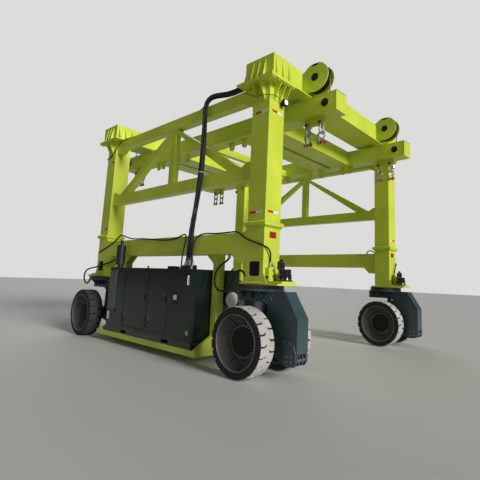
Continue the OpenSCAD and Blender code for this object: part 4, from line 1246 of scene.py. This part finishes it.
@dataclass(frozen=True)
class HoistFittings:
    """Laid ropes over the sheaves, their sockets on the lifting beams, and the bolted axle caps."""

    rope_r: float = 0.012
    lay: float = 0.150
    pocket_z: float = 5.660
    cheek: float = 0.119
    cap_r: float = 0.0868
    cap_reach: float = 0.142
    beam_cap_reach: float = 0.204
    beam_cap_z: float = 5.346
    bolt_ring: float = 0.058
    cover_depth: float = 0.0115

    def retainer(self) -> Surface:
        """Black rope keepers in the notches of both cheeks of a sheave block."""
        x = LAYOUT.sheave_x
        block = prism(rectangle(x - 0.074, 6.299, x + 0.064, 6.350, 0.018), -0.013, 0.013, 0.004)
        return block.turned(STANDING).both_sides(self.cheek)

    def cap(self) -> Surface:
        """Round cover with a keeper of four lobes, r = cap_r (0.62 + 0.30 |cos 2t|), and four bolts."""
        turn = np.linspace(0, 2 * np.pi, 72, endpoint=False)
        radius, depth = self.cap_r, self.cover_depth
        r = radius * (0.62 + 0.30 * np.abs(np.cos(2 * turn)))
        keeper = prism(np.stack([r * np.cos(turn), r * np.sin(turn)], 1), 0.002, 0.010, 0.002)
        disc = lathe([(0, 0.003), (radius - 0.004, 0.003), (radius, 0), (radius, -depth), (0, -depth)], 48)
        bolts = hexagon_bolt(0.011, 0.011).scattered(circle(self.bolt_ring, 4, 0.010))
        return Surface.join([disc, keeper, bolts, hexagon_bolt(0.022, 0.014).moved((0, 0, 0.010))])

    def caps(self, x: float, z: float, reach: float) -> Surface:
        """Caps at both ends of an axle along y.

        Args:
            x: Distance of the axle from the middle of the machine.
            z: Its height.
            reach: Half the length of the axle with its caps.

        Returns:
            Two caps.
        """
        pairs = ((TO_Y, reach), (TO_MINUS_Y, -reach))
        return Surface.join([self.cap().turned(axes).moved((x, y, z)) for axes, y in pairs])

    def wrap(self) -> Surface:
        """Rope over one sheave, from the fall over its top and down into the pocket of the head beam."""
        turn = np.linspace(0, np.pi, 150)
        x = LAYOUT.sheave_x + LAYOUT.rope_r * np.cos(turn)
        z = LAYOUT.sheave_z + LAYOUT.rope_r * np.sin(turn)
        arc = np.stack([x, 0 * x, z], 1)
        drop = along(arc[-1], (arc[-1, 0], 0, self.pocket_z), 50)[1:]
        return tube(np.concatenate([arc, drop]), self.rope_r, 24, 6, self.lay)

    def fall(self) -> Surface:
        """One fall of rope from the sheave to the socket."""
        top, foot = (LAYOUT.rope_x, 0, LAYOUT.sheave_z), (LAYOUT.rope_x, 0, LAYOUT.lift_top)
        return tube(along(top, foot, 80), self.rope_r, 24, 6, self.lay)

    def socket(self) -> Surface:
        """Tapered socket on its base nut at the foot of a fall."""
        profile = [(0, 0), (0.060, 0), (0.060, 0.012), (0.044, 0.014), (0.044, 0.040), (0.032, 0.048), (0.021, 0.135),
                   (0.018, 0.142), (0, 0.142)]
        return lathe(profile, 32).moved((LAYOUT.rope_x, 0, LAYOUT.lift_top))

    def build(self, shop: Workshop) -> None:
        """Replaces the plain falls by laid rope between the chassis and the lifting frame, the falls riding on no
        body.
        """
        axle_caps = self.caps(LAYOUT.sheave_x, LAYOUT.sheave_z, self.cap_reach)
        pin_caps = self.caps(LAYOUT.rope_x, self.beam_cap_z, self.beam_cap_reach)
        made = [shop.piece(name, shape.both_frames().both_ends(), *rest) for name, shape, *rest in (
            ("rope_falls", self.fall(), Finish.ROPE, "", "wire_rope", 60),
            ("rope_wraps", self.wrap(), Finish.ROPE, "chassis", "wire_rope", 60),
            ("rope_sockets", self.socket(), Finish.ZINC, "lift_frame", "galvanised"),
            ("sheave_axle_caps", axle_caps, Finish.IRON),
            ("rope_keepers", self.retainer(), Finish.GLOSS_BLACK),
            ("rope_pin_caps", pin_caps, Finish.IRON, "lift_frame"))]
        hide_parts("hoist_ropes")
        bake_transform(made[0])


@dataclass(frozen=True)
class LiftingFittings:
    """End plates, bolts and pairs of linked bow shackles on the lifting frame."""

    pin_z: float = 5.0093
    eye_x: float = 3.470
    eye_pair: float = 0.170
    bar: float = 0.021
    bow: Pairs = ((0.050, 0.020), (0.050, 0.0), (0.050, -0.035), (0.060, -0.090),
                   (0.082, -0.135), (0.084, -0.185), (0.050, -0.226), (0.0, -0.236))
    cross_half: float = 0.285
    cross_face: float = 1.536

    def end_plates(self) -> Surface:
        """Plates over the ends of the lifting beams, a little larger than the beams."""
        half, reach = LAYOUT.lift_w / 2 + 0.013, LAYOUT.lift_reach
        plate = slab((reach - 0.001, -half, LAYOUT.lift_low - 0.008), (reach + 0.012, half, LAYOUT.lift_top + 0.012),
                     0.002)
        return plate.both_frames().both_ends()

    def cross_bolts(self) -> Surface:
        """Columns of bolts through the end plates of the cross beams."""
        bolt, y = hexagon_bolt(0.009, 0.010).turned(TO_MINUS_Y), self.cross_face
        columns = [along((x, y, LAYOUT.lift_low + 0.035), (x, y, LAYOUT.lift_top - 0.035), 7)
                   for x in (middle + s * self.cross_half for middle in LAYOUT.cross_x for s in (-1, 1))]
        return bolt.scattered(np.concatenate(columns)).both_sides().both_ends()

    def bow_bar(self) -> Surface:
        """Bow and its two lugs, the pin along y through the origin and the bow below."""
        half = np.array([(0, y, z) for y, z in self.bow])
        path = route(np.concatenate([half, half[-2::-1] * (1, -1, 1)]), 0.012)
        lug = lathe([(0.022, -0.019), (0.041, -0.019), (0.045, -0.014), (0.045, 0.014), (0.041, 0.019),
                     (0.022, 0.019), (0.022, -0.019)], 24).turned(TO_Y)
        return Surface.join([tube(path, self.bar, 16), lug.both_sides(0.050)])

    def bolt_pin(self) -> Surface:
        """Bolt pin along y with its head and nut."""
        shaft = lathe([(0, -0.092), (0.036, -0.092), (0.040, -0.089), (0.040, -0.071), (0.0235, -0.070),
                       (0.0235, 0.102), (0.020, 0.105), (0, 0.105)], 24).turned(TO_Y)
        nut = hexagon_bolt(0.038, 0.024).turned(TO_Y).moved((0, 0.070, 0))
        return Surface.join([shaft, nut])

    def linked(self, shape: Surface) -> Surface:
        """The shape on the upper shackle, and turned a quarter and upside down on the lower one.

        Args:
            shape: Part of a shackle drawn about its pin.

        Returns:
            The upper and the lower shape, below an eye on x = y = 0.
        """
        reach = -self.bow[-1][1] - 0.003
        low_pin = self.pin_z - 2 * reach + 2 * self.bar
        lower = shape.turned(((0, 1, 0), (1, 0, 0), (0, 0, -1))).moved((0, 0, low_pin))
        return Surface.join([shape.moved((0, 0, self.pin_z)), lower])

    def everywhere(self, shape: Surface) -> Surface:
        """The shape below each of the eight outer eyes."""
        return Surface.join([shape.moved((self.eye_x + k * self.eye_pair, 0, 0)).both_frames()
                             for k in (-1, 1)]).both_ends()

    def build(self, shop: Workshop) -> None:
        """Replaces the plain shackles and adds the plates and bolts."""
        made = [shop.piece(name, shape, finish, "lift_frame", slot) for name, shape, finish, slot in (
            ("bow_shackles", self.everywhere(self.linked(self.bow_bar())), Finish.ZINC, "galvanised"),
            ("shackle_pins", self.everywhere(self.linked(self.bolt_pin())), Finish.RED, None),
            ("lift_beam_end_plates", self.end_plates(), Finish.LIME, "frame_paint"),
            ("cross_beam_bolts", self.cross_bolts(), Finish.LIME, "frame_paint"))]
        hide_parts("shackles")


@dataclass(frozen=True)
class CanopyFittings:
    """Seams, louvres, latches, handles, bare plates and roof fittings of the power pack."""

    face: float = -3.321
    roof: float = 1.845
    low: float = 0.458
    high: float = 1.769
    doors: tuple[tuple[str, float, float], ...] = (("rear", -0.944, 0.024), ("front", 0.066, 0.834))
    fixed: Pairs = ((-1.360, -1.000), (0.880, 1.600))
    louvre: tuple[float, float, float, float] = (-1.725, -1.400, 0.800, 1.790)
    pitch: float = 0.045
    depth: float = 0.012
    rear_face: float = -1.800
    rear_louvre: Pair = (-3.225, -2.295)
    silencer: Pair = (-1.580, -3.171)
    label_turn: float = 0.5

    def on_face(self, shape: Surface, x: float, z: float) -> Surface:
        """Stands a shape drawn flat, its z outwards, on the near face at x and z."""
        return shape.turned(TO_MINUS_Y).moved((x, self.face, z))

    def seam(self, x0: float, x1: float, inset: float = 0.010) -> Surface:
        """Raised edge bead of a panel between x0 and x1."""
        outline = rectangle(x0 + inset, self.low + inset, x1 - inset, self.high - inset, 0.020)
        return self.on_face(bead(flat_loop(outline, 0.0005), 0.0035, 6), 0, 0)

    def slats(self) -> Surface:
        """Louvre slats in a frame on the near face, and a wider field of them on the rear end."""
        x0, x1, z0, z1 = self.louvre
        y0, y1 = self.rear_louvre
        inset, near, rear = 0.015, (0, self.face, 0), (self.rear_face, 0, 0)
        slat = np.array([(0, -0.001), (0.85 * self.pitch, -0.001), (0.15 * self.pitch, self.depth)])
        count = int((z1 - z0 - 2 * inset) / self.pitch)
        steps = along((0, 0, z0 + inset), (0, 0, z0 + inset + (count - 1) * self.pitch), count)
        slats = prism(slat, x0 + inset, x1 - inset).turned(((0, 0, 1), (0, -1, 0), (1, 0, 0)))
        rear_slats = prism(slat, y0 + inset, y1 - inset).turned(((0, 0, 1), (-1, 0, 0), (0, 1, 0)))
        frame, rear_frame = (bead(flat_loop(rectangle(a, z0, b, z1), 0.002), 0.007, 8)
                             for a, b in ((x0, x1), (y0, y1)))
        return Surface.join([slats.scattered(steps + near), rear_slats.scattered(steps + rear),
                             frame.turned(TO_MINUS_Y).moved(near),
                             rear_frame.turned(((0, 1, 0), (0, 0, 1), (-1, 0, 0))).moved(rear)])

    def paddle(self) -> Surface:
        """Recessed paddle latch: a dished plate with a raised rim and a tongue."""
        outline = centred(0.030, 0.065, 0.014)
        tongue = prism(rectangle(-0.020, -0.048, 0.020, 0.030, 0.010), 0.001, 0.010, 0.003)
        rim = bead(flat_loop(outline * 0.93, 0.004), 0.003, 6)
        return Surface.join([prism(outline, 0, 0.004, 0.0015), rim, tongue])

    def quarter_turn(self) -> Surface:
        """Round lock with a winged key plate."""
        disc = lathe([(0, 0.006), (0.020, 0.006), (0.024, 0), (0, 0)], 24)
        wing = prism(rectangle(-0.014, -0.006, 0.052, 0.006, 0.005), 0.004, 0.012, 0.002)
        return Surface.join([disc, wing])

    def grab(self) -> Surface:
        """Upright grab handle with two feet, bent out from the face."""
        path = route([(0, -0.088, 0), (0, -0.088, 0.012), (0, -0.083, 0.026), (0, -0.050, 0.029), (0, 0.050, 0.029),
                      (0, 0.083, 0.026), (0, 0.088, 0.012), (0, 0.088, 0)], 0.006)
        foot = slab((-0.014, -0.100, 0), (0.014, 0.100, 0.003), 0.001)
        return Surface.join([tube(path, 0.0085, 12), foot])

    def eyes(self) -> Surface:
        """Four lifting lugs on the roof, each a ring on a foot."""
        ring = lathe([(0.018, -0.007), (0.040, -0.007), (0.042, 0), (0.040, 0.007), (0.018, 0.007), (0.018, -0.007)],
                     28).turned(TO_Y).moved((0, 0, 0.048))
        lug = Surface.join([ring, slab((-0.045, -0.008, -0.001), (0.045, 0.008, 0.020))])
        return lug.scattered([(x, y, self.roof) for x in (-1.500, 1.500) for y in (-3.150, -2.380)])

    def roof_gear(self) -> Surface:
        """Hose manifold, a filter head and a filler cap on the roof, and the clamps of the silencer."""
        roof = self.roof
        manifold = slab((1.030, -3.160, roof - 0.001), (1.270, -2.938, roof + 0.080), 0.008)
        filler = lathe([(0, 0), (0.055, 0), (0.055, 0.025), (0.048, 0.030), (0.048, 0.060), (0.030, 0.070),
                        (0, 0.072)], 36).moved((0.250, -2.700, roof))
        box = slab((0.500, -3.150, roof - 0.001), (0.760, -2.990, roof + 0.060), 0.012)
        band = lathe([(0.108, -0.02), (0.1135, -0.02), (0.1135, 0.02), (0.108, 0.02), (0.108, -0.02)], 48)
        skirt = lathe([(0, 0), (0.100, 0), (0.100, 0.010), (0.066, 0.014), (0.064, 0.060), (0, 0.060)], 40)
        return Surface.join([manifold, filler, box, band.scattered([(*self.silencer, z) for z in (2.010, 2.340)]),
                             skirt.moved((*self.silencer, roof))])

    def filter_cover(self) -> Surface:
        """Shallow dome over the end of the filter: a lathe profile about x with a rolled rim."""
        turn = np.linspace(0, np.pi / 2, 12)
        dome = [(0.148 * math.sin(t), 0.040 + 0.022 * math.cos(t)) for t in turn]
        rim = [(0.154, 0.038), (0.157, 0.032), (0.157, 0.004), (0.152, 0), (0, 0)]
        return lathe(dome + rim, 64).turned(TO_X).moved((1.962, -2.514, 1.246))

    def build(self, shop: Workshop) -> None:
        """Dresses the fixed panels on the chassis and each door on its own body."""
        for name, x0, x1 in self.doors:
            shop.piece("door_seam_" + name, self.seam(x0, x1), Finish.CANOPY, "pack_door_" + name, "canopy_paint")
        paddle, lock = self.paddle(), self.quarter_turn()
        latches = {"rear": ((paddle, -0.857, 0.723),),
                   "front": ((paddle, 0.162, 0.722), (lock, 0.700, 1.300), (lock, 0.680, 0.754))}
        for name, fitted in latches.items():
            shapes = [self.on_face(shape, x, z) for shape, x, z in fitted]
            shop.piece("paddle_latch_" + name, Surface.join(shapes), Finish.TURNED, "pack_door_" + name)
        panels = Surface.join([self.seam(a, b) for a, b in self.fixed])
        cap = lathe([(0, 0.022), (0.040, 0.020), (0.050, 0.012), (0.050, 0), (0, 0)], 32)
        bezel = centred(0.135, 0.135, 0.016)
        shade = Surface.join([prism(bezel, 0, 0.008, 0.002), bead(flat_loop(bezel * 0.95, 0.008), 0.004, 8)])
        plate = prism(centred(0.055, 0.095, 0.006), 0, 0.0025, 0.0008)
        pane = prism(centred(0.058, 0.050, 0.006), 0.008, 0.0105, 0.0008)
        sine, cosine = math.sin(self.label_turn), math.cos(self.label_turn)
        label = prism(centred(0.042, 0.042, 0.004), 0, 0.002, 0.0006).turned(
            ((cosine, sine, 0), (-sine, cosine, 0), (0, 0, 1)))
        for name, shape, finish in (
                ("canopy_panel_seams", panels, Finish.CANOPY),
                ("canopy_louvres", self.slats(), Finish.GREY),
                ("canopy_lifting_eyes", self.eyes(), Finish.CANOPY),
                ("canopy_roof_gear", self.roof_gear(), Finish.BLACK),
                ("canopy_round_cap", self.on_face(cap, -1.336, 0.790), Finish.PLASTIC),
                ("controller_bezel", self.on_face(shade, 1.100, 1.235), Finish.PLASTIC),
                ("controller_pane", self.on_face(pane, 1.110, 1.250), Finish.DISPLAY),
                ("bare_white_plate", self.on_face(plate, -1.665, 0.650), Finish.WHITE),
                ("bare_green_label", self.on_face(label, 1.569, 0.576), Finish.PALE_GREEN),
                ("grab_handle", self.on_face(self.grab(), 1.530, 1.615), Finish.WHITE),
                ("filter_cover", self.filter_cover(), Finish.WHITE)):
            shop.piece(name, shape, finish)


# From the far lower beam, down round the leg to the fittings at its foot, front end; x is reversed at the rear.
FAR_HOSE = ((2.380, 2.850, 2.580), (2.380, 2.850, 2.660), (2.450, 2.900, 2.720), (2.560, 2.985, 2.670),
            (2.700, 3.012, 2.500), (2.921, 3.010, 2.404), (3.150, 3.012, 2.345), (3.262, 2.990, 2.300),
            (3.285, 2.905, 2.265), (3.287, 2.840, 2.180), (3.265, 2.821, 2.070), (3.263, 2.821, 1.943))


@dataclass(frozen=True)
class Run:
    """One hose or cable: its radius, its control points, and whether each end has a coupling."""

    name: str
    radius: float
    points: Places
    ends: tuple[bool, bool] = (True, True)
    stiffness: str = "stiff"


@dataclass(frozen=True)
class HoseWork:
    """Hydraulic hoses and lamp cables, every one a tube laid between two fittings."""

    bundle: Places = (
        (1.150, -3.049, 1.922), (1.150, -3.049, 2.150), (1.130, -3.049, 2.600), (1.250, -3.049, 3.200),
        (1.335, -3.049, 3.800), (1.372, -3.049, 4.400), (1.370, -3.052, 5.000), (1.350, -3.052, 5.350),
        (1.354, -3.046, 5.530), (1.408, -3.036, 5.668), (1.530, -2.990, 5.745), (1.710, -2.900, 5.752),
        (1.910, -2.855, 5.735), (2.110, -2.862, 5.720), (2.300, -2.900, 5.702), (2.480, -2.926, 5.706),
        (2.654, -2.929, 5.720))
    hose_r: float = 0.025
    spread: float = 0.037
    flare: float = 0.034
    twist: float = 0.7
    count: int = 4
    white_tie_z: float = 3.970
    ties_z: Row = (2.350, 2.950, 4.700, 5.350)
    runs: tuple[Run, ...] = (
        Run("beam_hose_front", 0.016, (
            (1.330, -3.120, 1.845), (1.330, -3.120, 2.060), (1.300, -3.100, 2.330), (1.330, -3.030, 2.560),
            (1.500, -2.985, 2.620), (1.750, -2.965, 2.600), (2.100, -2.965, 2.598), (2.400, -2.975, 2.610),
            (2.580, -3.008, 2.600), (2.700, -3.012, 2.490), (2.921, -3.010, 2.404), (3.150, -3.012, 2.345),
            (3.262, -2.990, 2.300), (3.285, -2.905, 2.265), (3.287, -2.840, 2.180), (3.265, -2.821, 2.070),
            (3.263, -2.821, 1.943))),
        Run("beam_hose_rear", 0.016, (
            (0.970, -3.120, 1.845), (0.970, -3.120, 2.060), (1.010, -3.110, 2.330), (1.010, -3.060, 2.560),
            (0.880, -3.012, 2.650), (0.650, -3.008, 2.560), (0.417, -3.008, 2.515), (0.006, -3.008, 2.518),
            (-0.450, -3.008, 2.560), (-0.900, -2.995, 2.598), (-1.400, -2.975, 2.600), (-1.700, -2.985, 2.660),
            (-1.960, -3.010, 2.760), (-2.140, -3.015, 2.650), (-2.300, -3.010, 2.545), (-2.560, -3.010, 2.460),
            (-2.811, -3.010, 2.384), (-3.100, -3.012, 2.300), (-3.262, -2.990, 2.240), (-3.285, -2.905, 2.205),
            (-3.287, -2.840, 2.140), (-3.265, -2.821, 2.050), (-3.263, -2.821, 1.943))),
        Run("loop_hose_front", 0.021, (
            (2.280, -2.930, 2.166), (2.270, -2.930, 2.060), (2.100, -2.930, 1.985), (1.900, -2.930, 1.850),
            (1.850, -2.930, 1.640), (1.930, -2.930, 1.450), (2.150, -2.930, 1.410), (2.340, -2.930, 1.530),
            (2.400, -2.930, 1.700), (2.490, -2.930, 1.830), (2.610, -2.930, 1.865), (2.715, -2.930, 1.800),
            (2.745, -2.930, 1.705), (2.745, -2.930, 1.630))),
        Run("loop_hose_rear", 0.021, (
            (-2.250, -2.930, 2.166), (-2.255, -2.950, 2.060), (-2.420, -3.020, 1.985), (-2.785, -3.030, 1.915),
            (-3.150, -3.040, 1.850), (-3.450, -3.055, 1.820), (-3.700, -3.060, 1.780), (-3.860, -3.055, 1.660),
            (-3.895, -3.040, 1.500), (-3.825, -3.015, 1.370), (-3.705, -2.995, 1.360), (-3.615, -2.990, 1.445),
            (-3.590, -2.990, 1.530), (-3.590, -2.990, 1.597))),
        Run("chord_cable_rear", 0.013, (
            (1.420, -3.000, 5.740), (1.250, -2.900, 5.740), (1.050, -2.860, 5.650), (0.800, -2.850, 5.594),
            (0.000, -2.850, 5.591), (-0.790, -2.850, 5.591), (-1.840, -2.860, 5.594), (-2.200, -2.890, 5.620),
            (-2.420, -2.985, 5.560), (-2.600, -3.020, 5.440), (-2.760, -3.030, 5.310), (-2.913, -3.020, 5.190),
            (-3.060, -3.012, 5.125), (-3.160, -3.028, 5.105), (-3.235, -3.020, 5.100), (-3.278, -2.960, 5.100),
            (-3.280, -2.870, 5.102), (-3.264, -2.770, 5.108), (-3.264, -2.700, 5.125), (-3.270, -2.650, 5.155),
            (-3.275, -2.629, 5.190)),
            (False, False), "medium"),
        Run("head_cable_front", 0.007, (
            (2.330, -2.900, 5.576), (2.335, -2.900, 5.630), (2.370, -2.950, 5.650), (2.430, -2.998, 5.600),
            (2.480, -3.002, 5.550), (2.680, -3.006, 5.430), (2.800, -3.035, 5.360), (2.913, -3.062, 5.300),
            (3.010, -3.055, 5.285), (3.113, -3.058, 5.280), (3.210, -3.035, 5.272), (3.262, -2.992, 5.268),
            (3.298, -2.930, 5.270), (3.302, -2.859, 5.270), (3.302, -2.800, 5.262), (3.290, -2.720, 5.235),
            (3.280, -2.660, 5.215), (3.275, -2.636, 5.210)), (False, False), "medium"),
        Run("beam_hose_far_front", 0.016, FAR_HOSE),
        Run("beam_hose_far_rear", 0.016, tuple((-x, y, z) for x, y, z in FAR_HOSE)))

    def strand(self, centre: Array, index: int) -> Array:
        """Centre line of one hose of the bundle: p + d (cos a n + sin a b).

        d is the spread, wider by the flare near both ends, and a turns slowly along the run.

        Args:
            centre: Centre line of the bundle.
            index: Number of the hose.

        Returns:
            Its centre line.
        """
        n, b = frame_of(centre)
        run = run_of(centre)
        d = self.spread + self.flare * (np.exp(-run / 0.18) + np.exp(-(run[-1] - run) / 0.18))
        a = math.pi / 4 + index * 2 * math.pi / self.count + self.twist * run * np.clip(run / 0.5, 0, 1)
        return centre + d[:, None] * (np.cos(a)[:, None] * n + np.sin(a)[:, None] * b)

    def tie(self, centre: Array, z: float) -> Surface:
        """Band round the bundle where it passes the height z."""
        index = int(np.argmin(np.abs(centre[:, 2] - z)))
        band = lathe([(0.0630, -0.006), (0.0655, -0.007), (0.0670, 0), (0.0655, 0.007), (0.0630, 0.006),
                      (0.0630, -0.006)], 32)
        knot = slab((0.061, -0.009, -0.008), (0.075, 0.009, 0.008), 0.002)
        return Surface.join([band, knot]).turned(facing(centre[index + 1] - centre[index])).moved(centre[index])

    def build(self, shop: Workshop) -> None:
        """Lays the bundle, its ties and the single runs."""
        centre = route(self.bundle, 0.035)
        for index in range(self.count):
            hose = shop.hose("bundle_hose_%d" % index, self.strand(centre, index), self.hose_r)
            if index == 0:
                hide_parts("hose_bundle")
        shop.piece("bundle_tie_white", self.tie(centre, self.white_tie_z), Finish.NYLON)
        shop.piece("bundle_ties_black", Surface.join([self.tie(centre, z) for z in self.ties_z]), Finish.PLASTIC)
        for run in self.runs:
            shop.hose(run.name, route(run.points, 0.03 if run.radius > 0.01 else 0.02), run.radius, ends=run.ends,
                      stiffness=run.stiffness)


@dataclass(frozen=True)
class Studio:
    """Camera, soft lamps, pale floor and even surroundings."""

    eye: Place = (7.912, -8.275, 1.710)
    heading_deg: float = 131.48
    pitch_deg: float = 8.846
    roll_deg: float = 2.298
    sensor_mm: float = 36.0
    focal_px: float = 384.2
    frame_px: float = 480.0
    axis_px: Pair = (265.0, 218.8)
    floor_size: float = 160.0
    suns: tuple[tuple[str, float, Place, float], ...] = (
        ("key_from_front", 3.1, (-1.0, 0.05, -0.42), 20), ("fill_from_side", 0.14, (-0.2, 1.0, -0.5), 60),
        ("fill_from_behind", 0.9, (0.75, -0.65, -0.40), 50))

    def camera(self) -> None:
        """Sets the camera by its heading, pitch and roll, with the shift that the picture's cropping needs."""
        heading, pitch, roll = (math.radians(a) for a in (self.heading_deg, self.pitch_deg, self.roll_deg))
        ahead = Vector((math.cos(heading) * math.cos(pitch), math.sin(heading) * math.cos(pitch), math.sin(pitch)))
        right = ahead.cross(Vector((0, 0, 1))).normalized()
        up = right.cross(ahead)
        side = right * math.cos(roll) + up * math.sin(roll)
        top = up * math.cos(roll) - right * math.sin(roll)
        data = bpy.data.cameras.new("camera")
        data.sensor_width = self.sensor_mm
        data.lens = self.sensor_mm * self.focal_px / self.frame_px
        data.shift_x = (self.frame_px / 2 - self.axis_px[0]) / self.frame_px
        data.shift_y = (self.axis_px[1] - self.frame_px / 2) / self.frame_px
        data.clip_end = 300
        camera = bpy.data.objects.new("camera", data)
        turn = Matrix((side, top, -ahead)).transposed().to_4x4()
        camera.matrix_world = Matrix.Translation(self.eye) @ turn
        bpy.context.scene.collection.objects.link(camera)
        bpy.context.scene.camera = camera

    def lamp(self, name: str, strength: float, towards: Place, spread_deg: float) -> None:
        """Adds a broad sun.

        Args:
            name: Its name.
            strength: Watts a square metre on a face square to it.
            towards: Direction in which its light travels.
            spread_deg: Apparent width, which softens its shadows.
        """
        data = bpy.data.lights.new(name, "SUN")
        data.energy = strength
        data.angle = math.radians(spread_deg)
        lamp = bpy.data.objects.new(name, data)
        lamp.rotation_euler = Vector(towards).to_track_quat("-Z", "Y").to_euler()
        bpy.context.scene.collection.objects.link(lamp)

    def surroundings(self) -> None:
        """Even grey light from all round, with a pale background for camera and glass rays."""
        world = bpy.data.worlds.new("surroundings")
        bpy.context.scene.world = world
        world.use_nodes = True
        world.node_tree.nodes.clear()
        add = partial(add_node, world.node_tree)
        path = add("LightPath")
        seen = add("Math", {"operation": "MAXIMUM"},
                   {0: path.outputs["Is Camera Ray"], 1: path.outputs["Is Transmission Ray"]})
        light = add("Background", {"Color": linear("#dfe3e6"), "Strength": 0.10})
        shown = add("Background", {"Color": linear("#dcdcda"), "Strength": 1.0})
        mix = add("MixShader", links={0: seen, 1: light, 2: shown})
        add("OutputWorld", links={"Surface": mix})

    def floor(self) -> None:
        """Plain pale floor."""
        half = self.floor_size / 2
        mesh = bpy.data.meshes.new("floor")
        mesh.from_pydata([(-half, -half, 0), (half, -half, 0), (half, half, 0), (-half, half, 0)], [], [(0, 1, 2, 3)])
        material, add = new_material("pale_screed")
        shader = add("BsdfPrincipled", {"Base Color": linear("#c9c8c4"), "Roughness": 0.85})
        add("OutputMaterial", links={"Surface": shader})
        mesh.materials.append(material)
        floor = bpy.data.objects.new("floor", mesh)
        bpy.context.scene.collection.objects.link(floor)

    def build(self) -> None:
        """Sets up the whole studio and the plain view transform."""
        bpy.context.scene.view_settings.view_transform = "Standard"
        self.camera()
        self.surroundings()
        self.floor()
        for sun in self.suns:
            self.lamp(*sun)


COATS = {
    Finish.LIME: ("leg_", "foot_", "lower_beams", "bottom_chords", "top_chords", "truss_", "head_beam_",
                  "sheave_blocks_", "lift_", "pack_tray", "pack_hangers"),
    Finish.IRON: ("sheaves_",), Finish.ROPE: ("hoist_ropes",), Finish.ZINC: ("shackles",),
    Finish.RING_PRIMER: ("slewing_rings",), Finish.PLASTIC: ("work_lamps",), Finish.HOSE: ("hose_bundle",),
    Finish.BLACK: ("steering_motors", "pack_skid", "pack_engine", "pack_exhaust"),
    Finish.CANOPY: ("pack_canopy", "door_", "oil_filter_tank"), Finish.BOGIE: ("yoke_", "swing_arm_"),
    Finish.RIM: ("rims_",)}


def main() -> None:
    """Builds the studio and every sub-assembly, logs the count of pieces after each, and coats the CAD nodes."""
    logging.basicConfig(level=logging.INFO, format="%(name)s: %(message)s")
    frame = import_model()
    Studio().build()
    shop = Workshop(frame["nodes"])
    for part in (HoseWork(), LegFittings(), PlateEdges(), SteeringDrives(), BogieFittings(), HoistFittings(),
                 LiftingFittings(), CanopyFittings(), Wheels()):
        part.build(shop)
        log.info("%s done, %d pieces so far", type(part).__name__, shop.count)
    for finish, names in COATS.items():
        shop.coat(finish, *names)


if __name__ == "__main__":
    main()
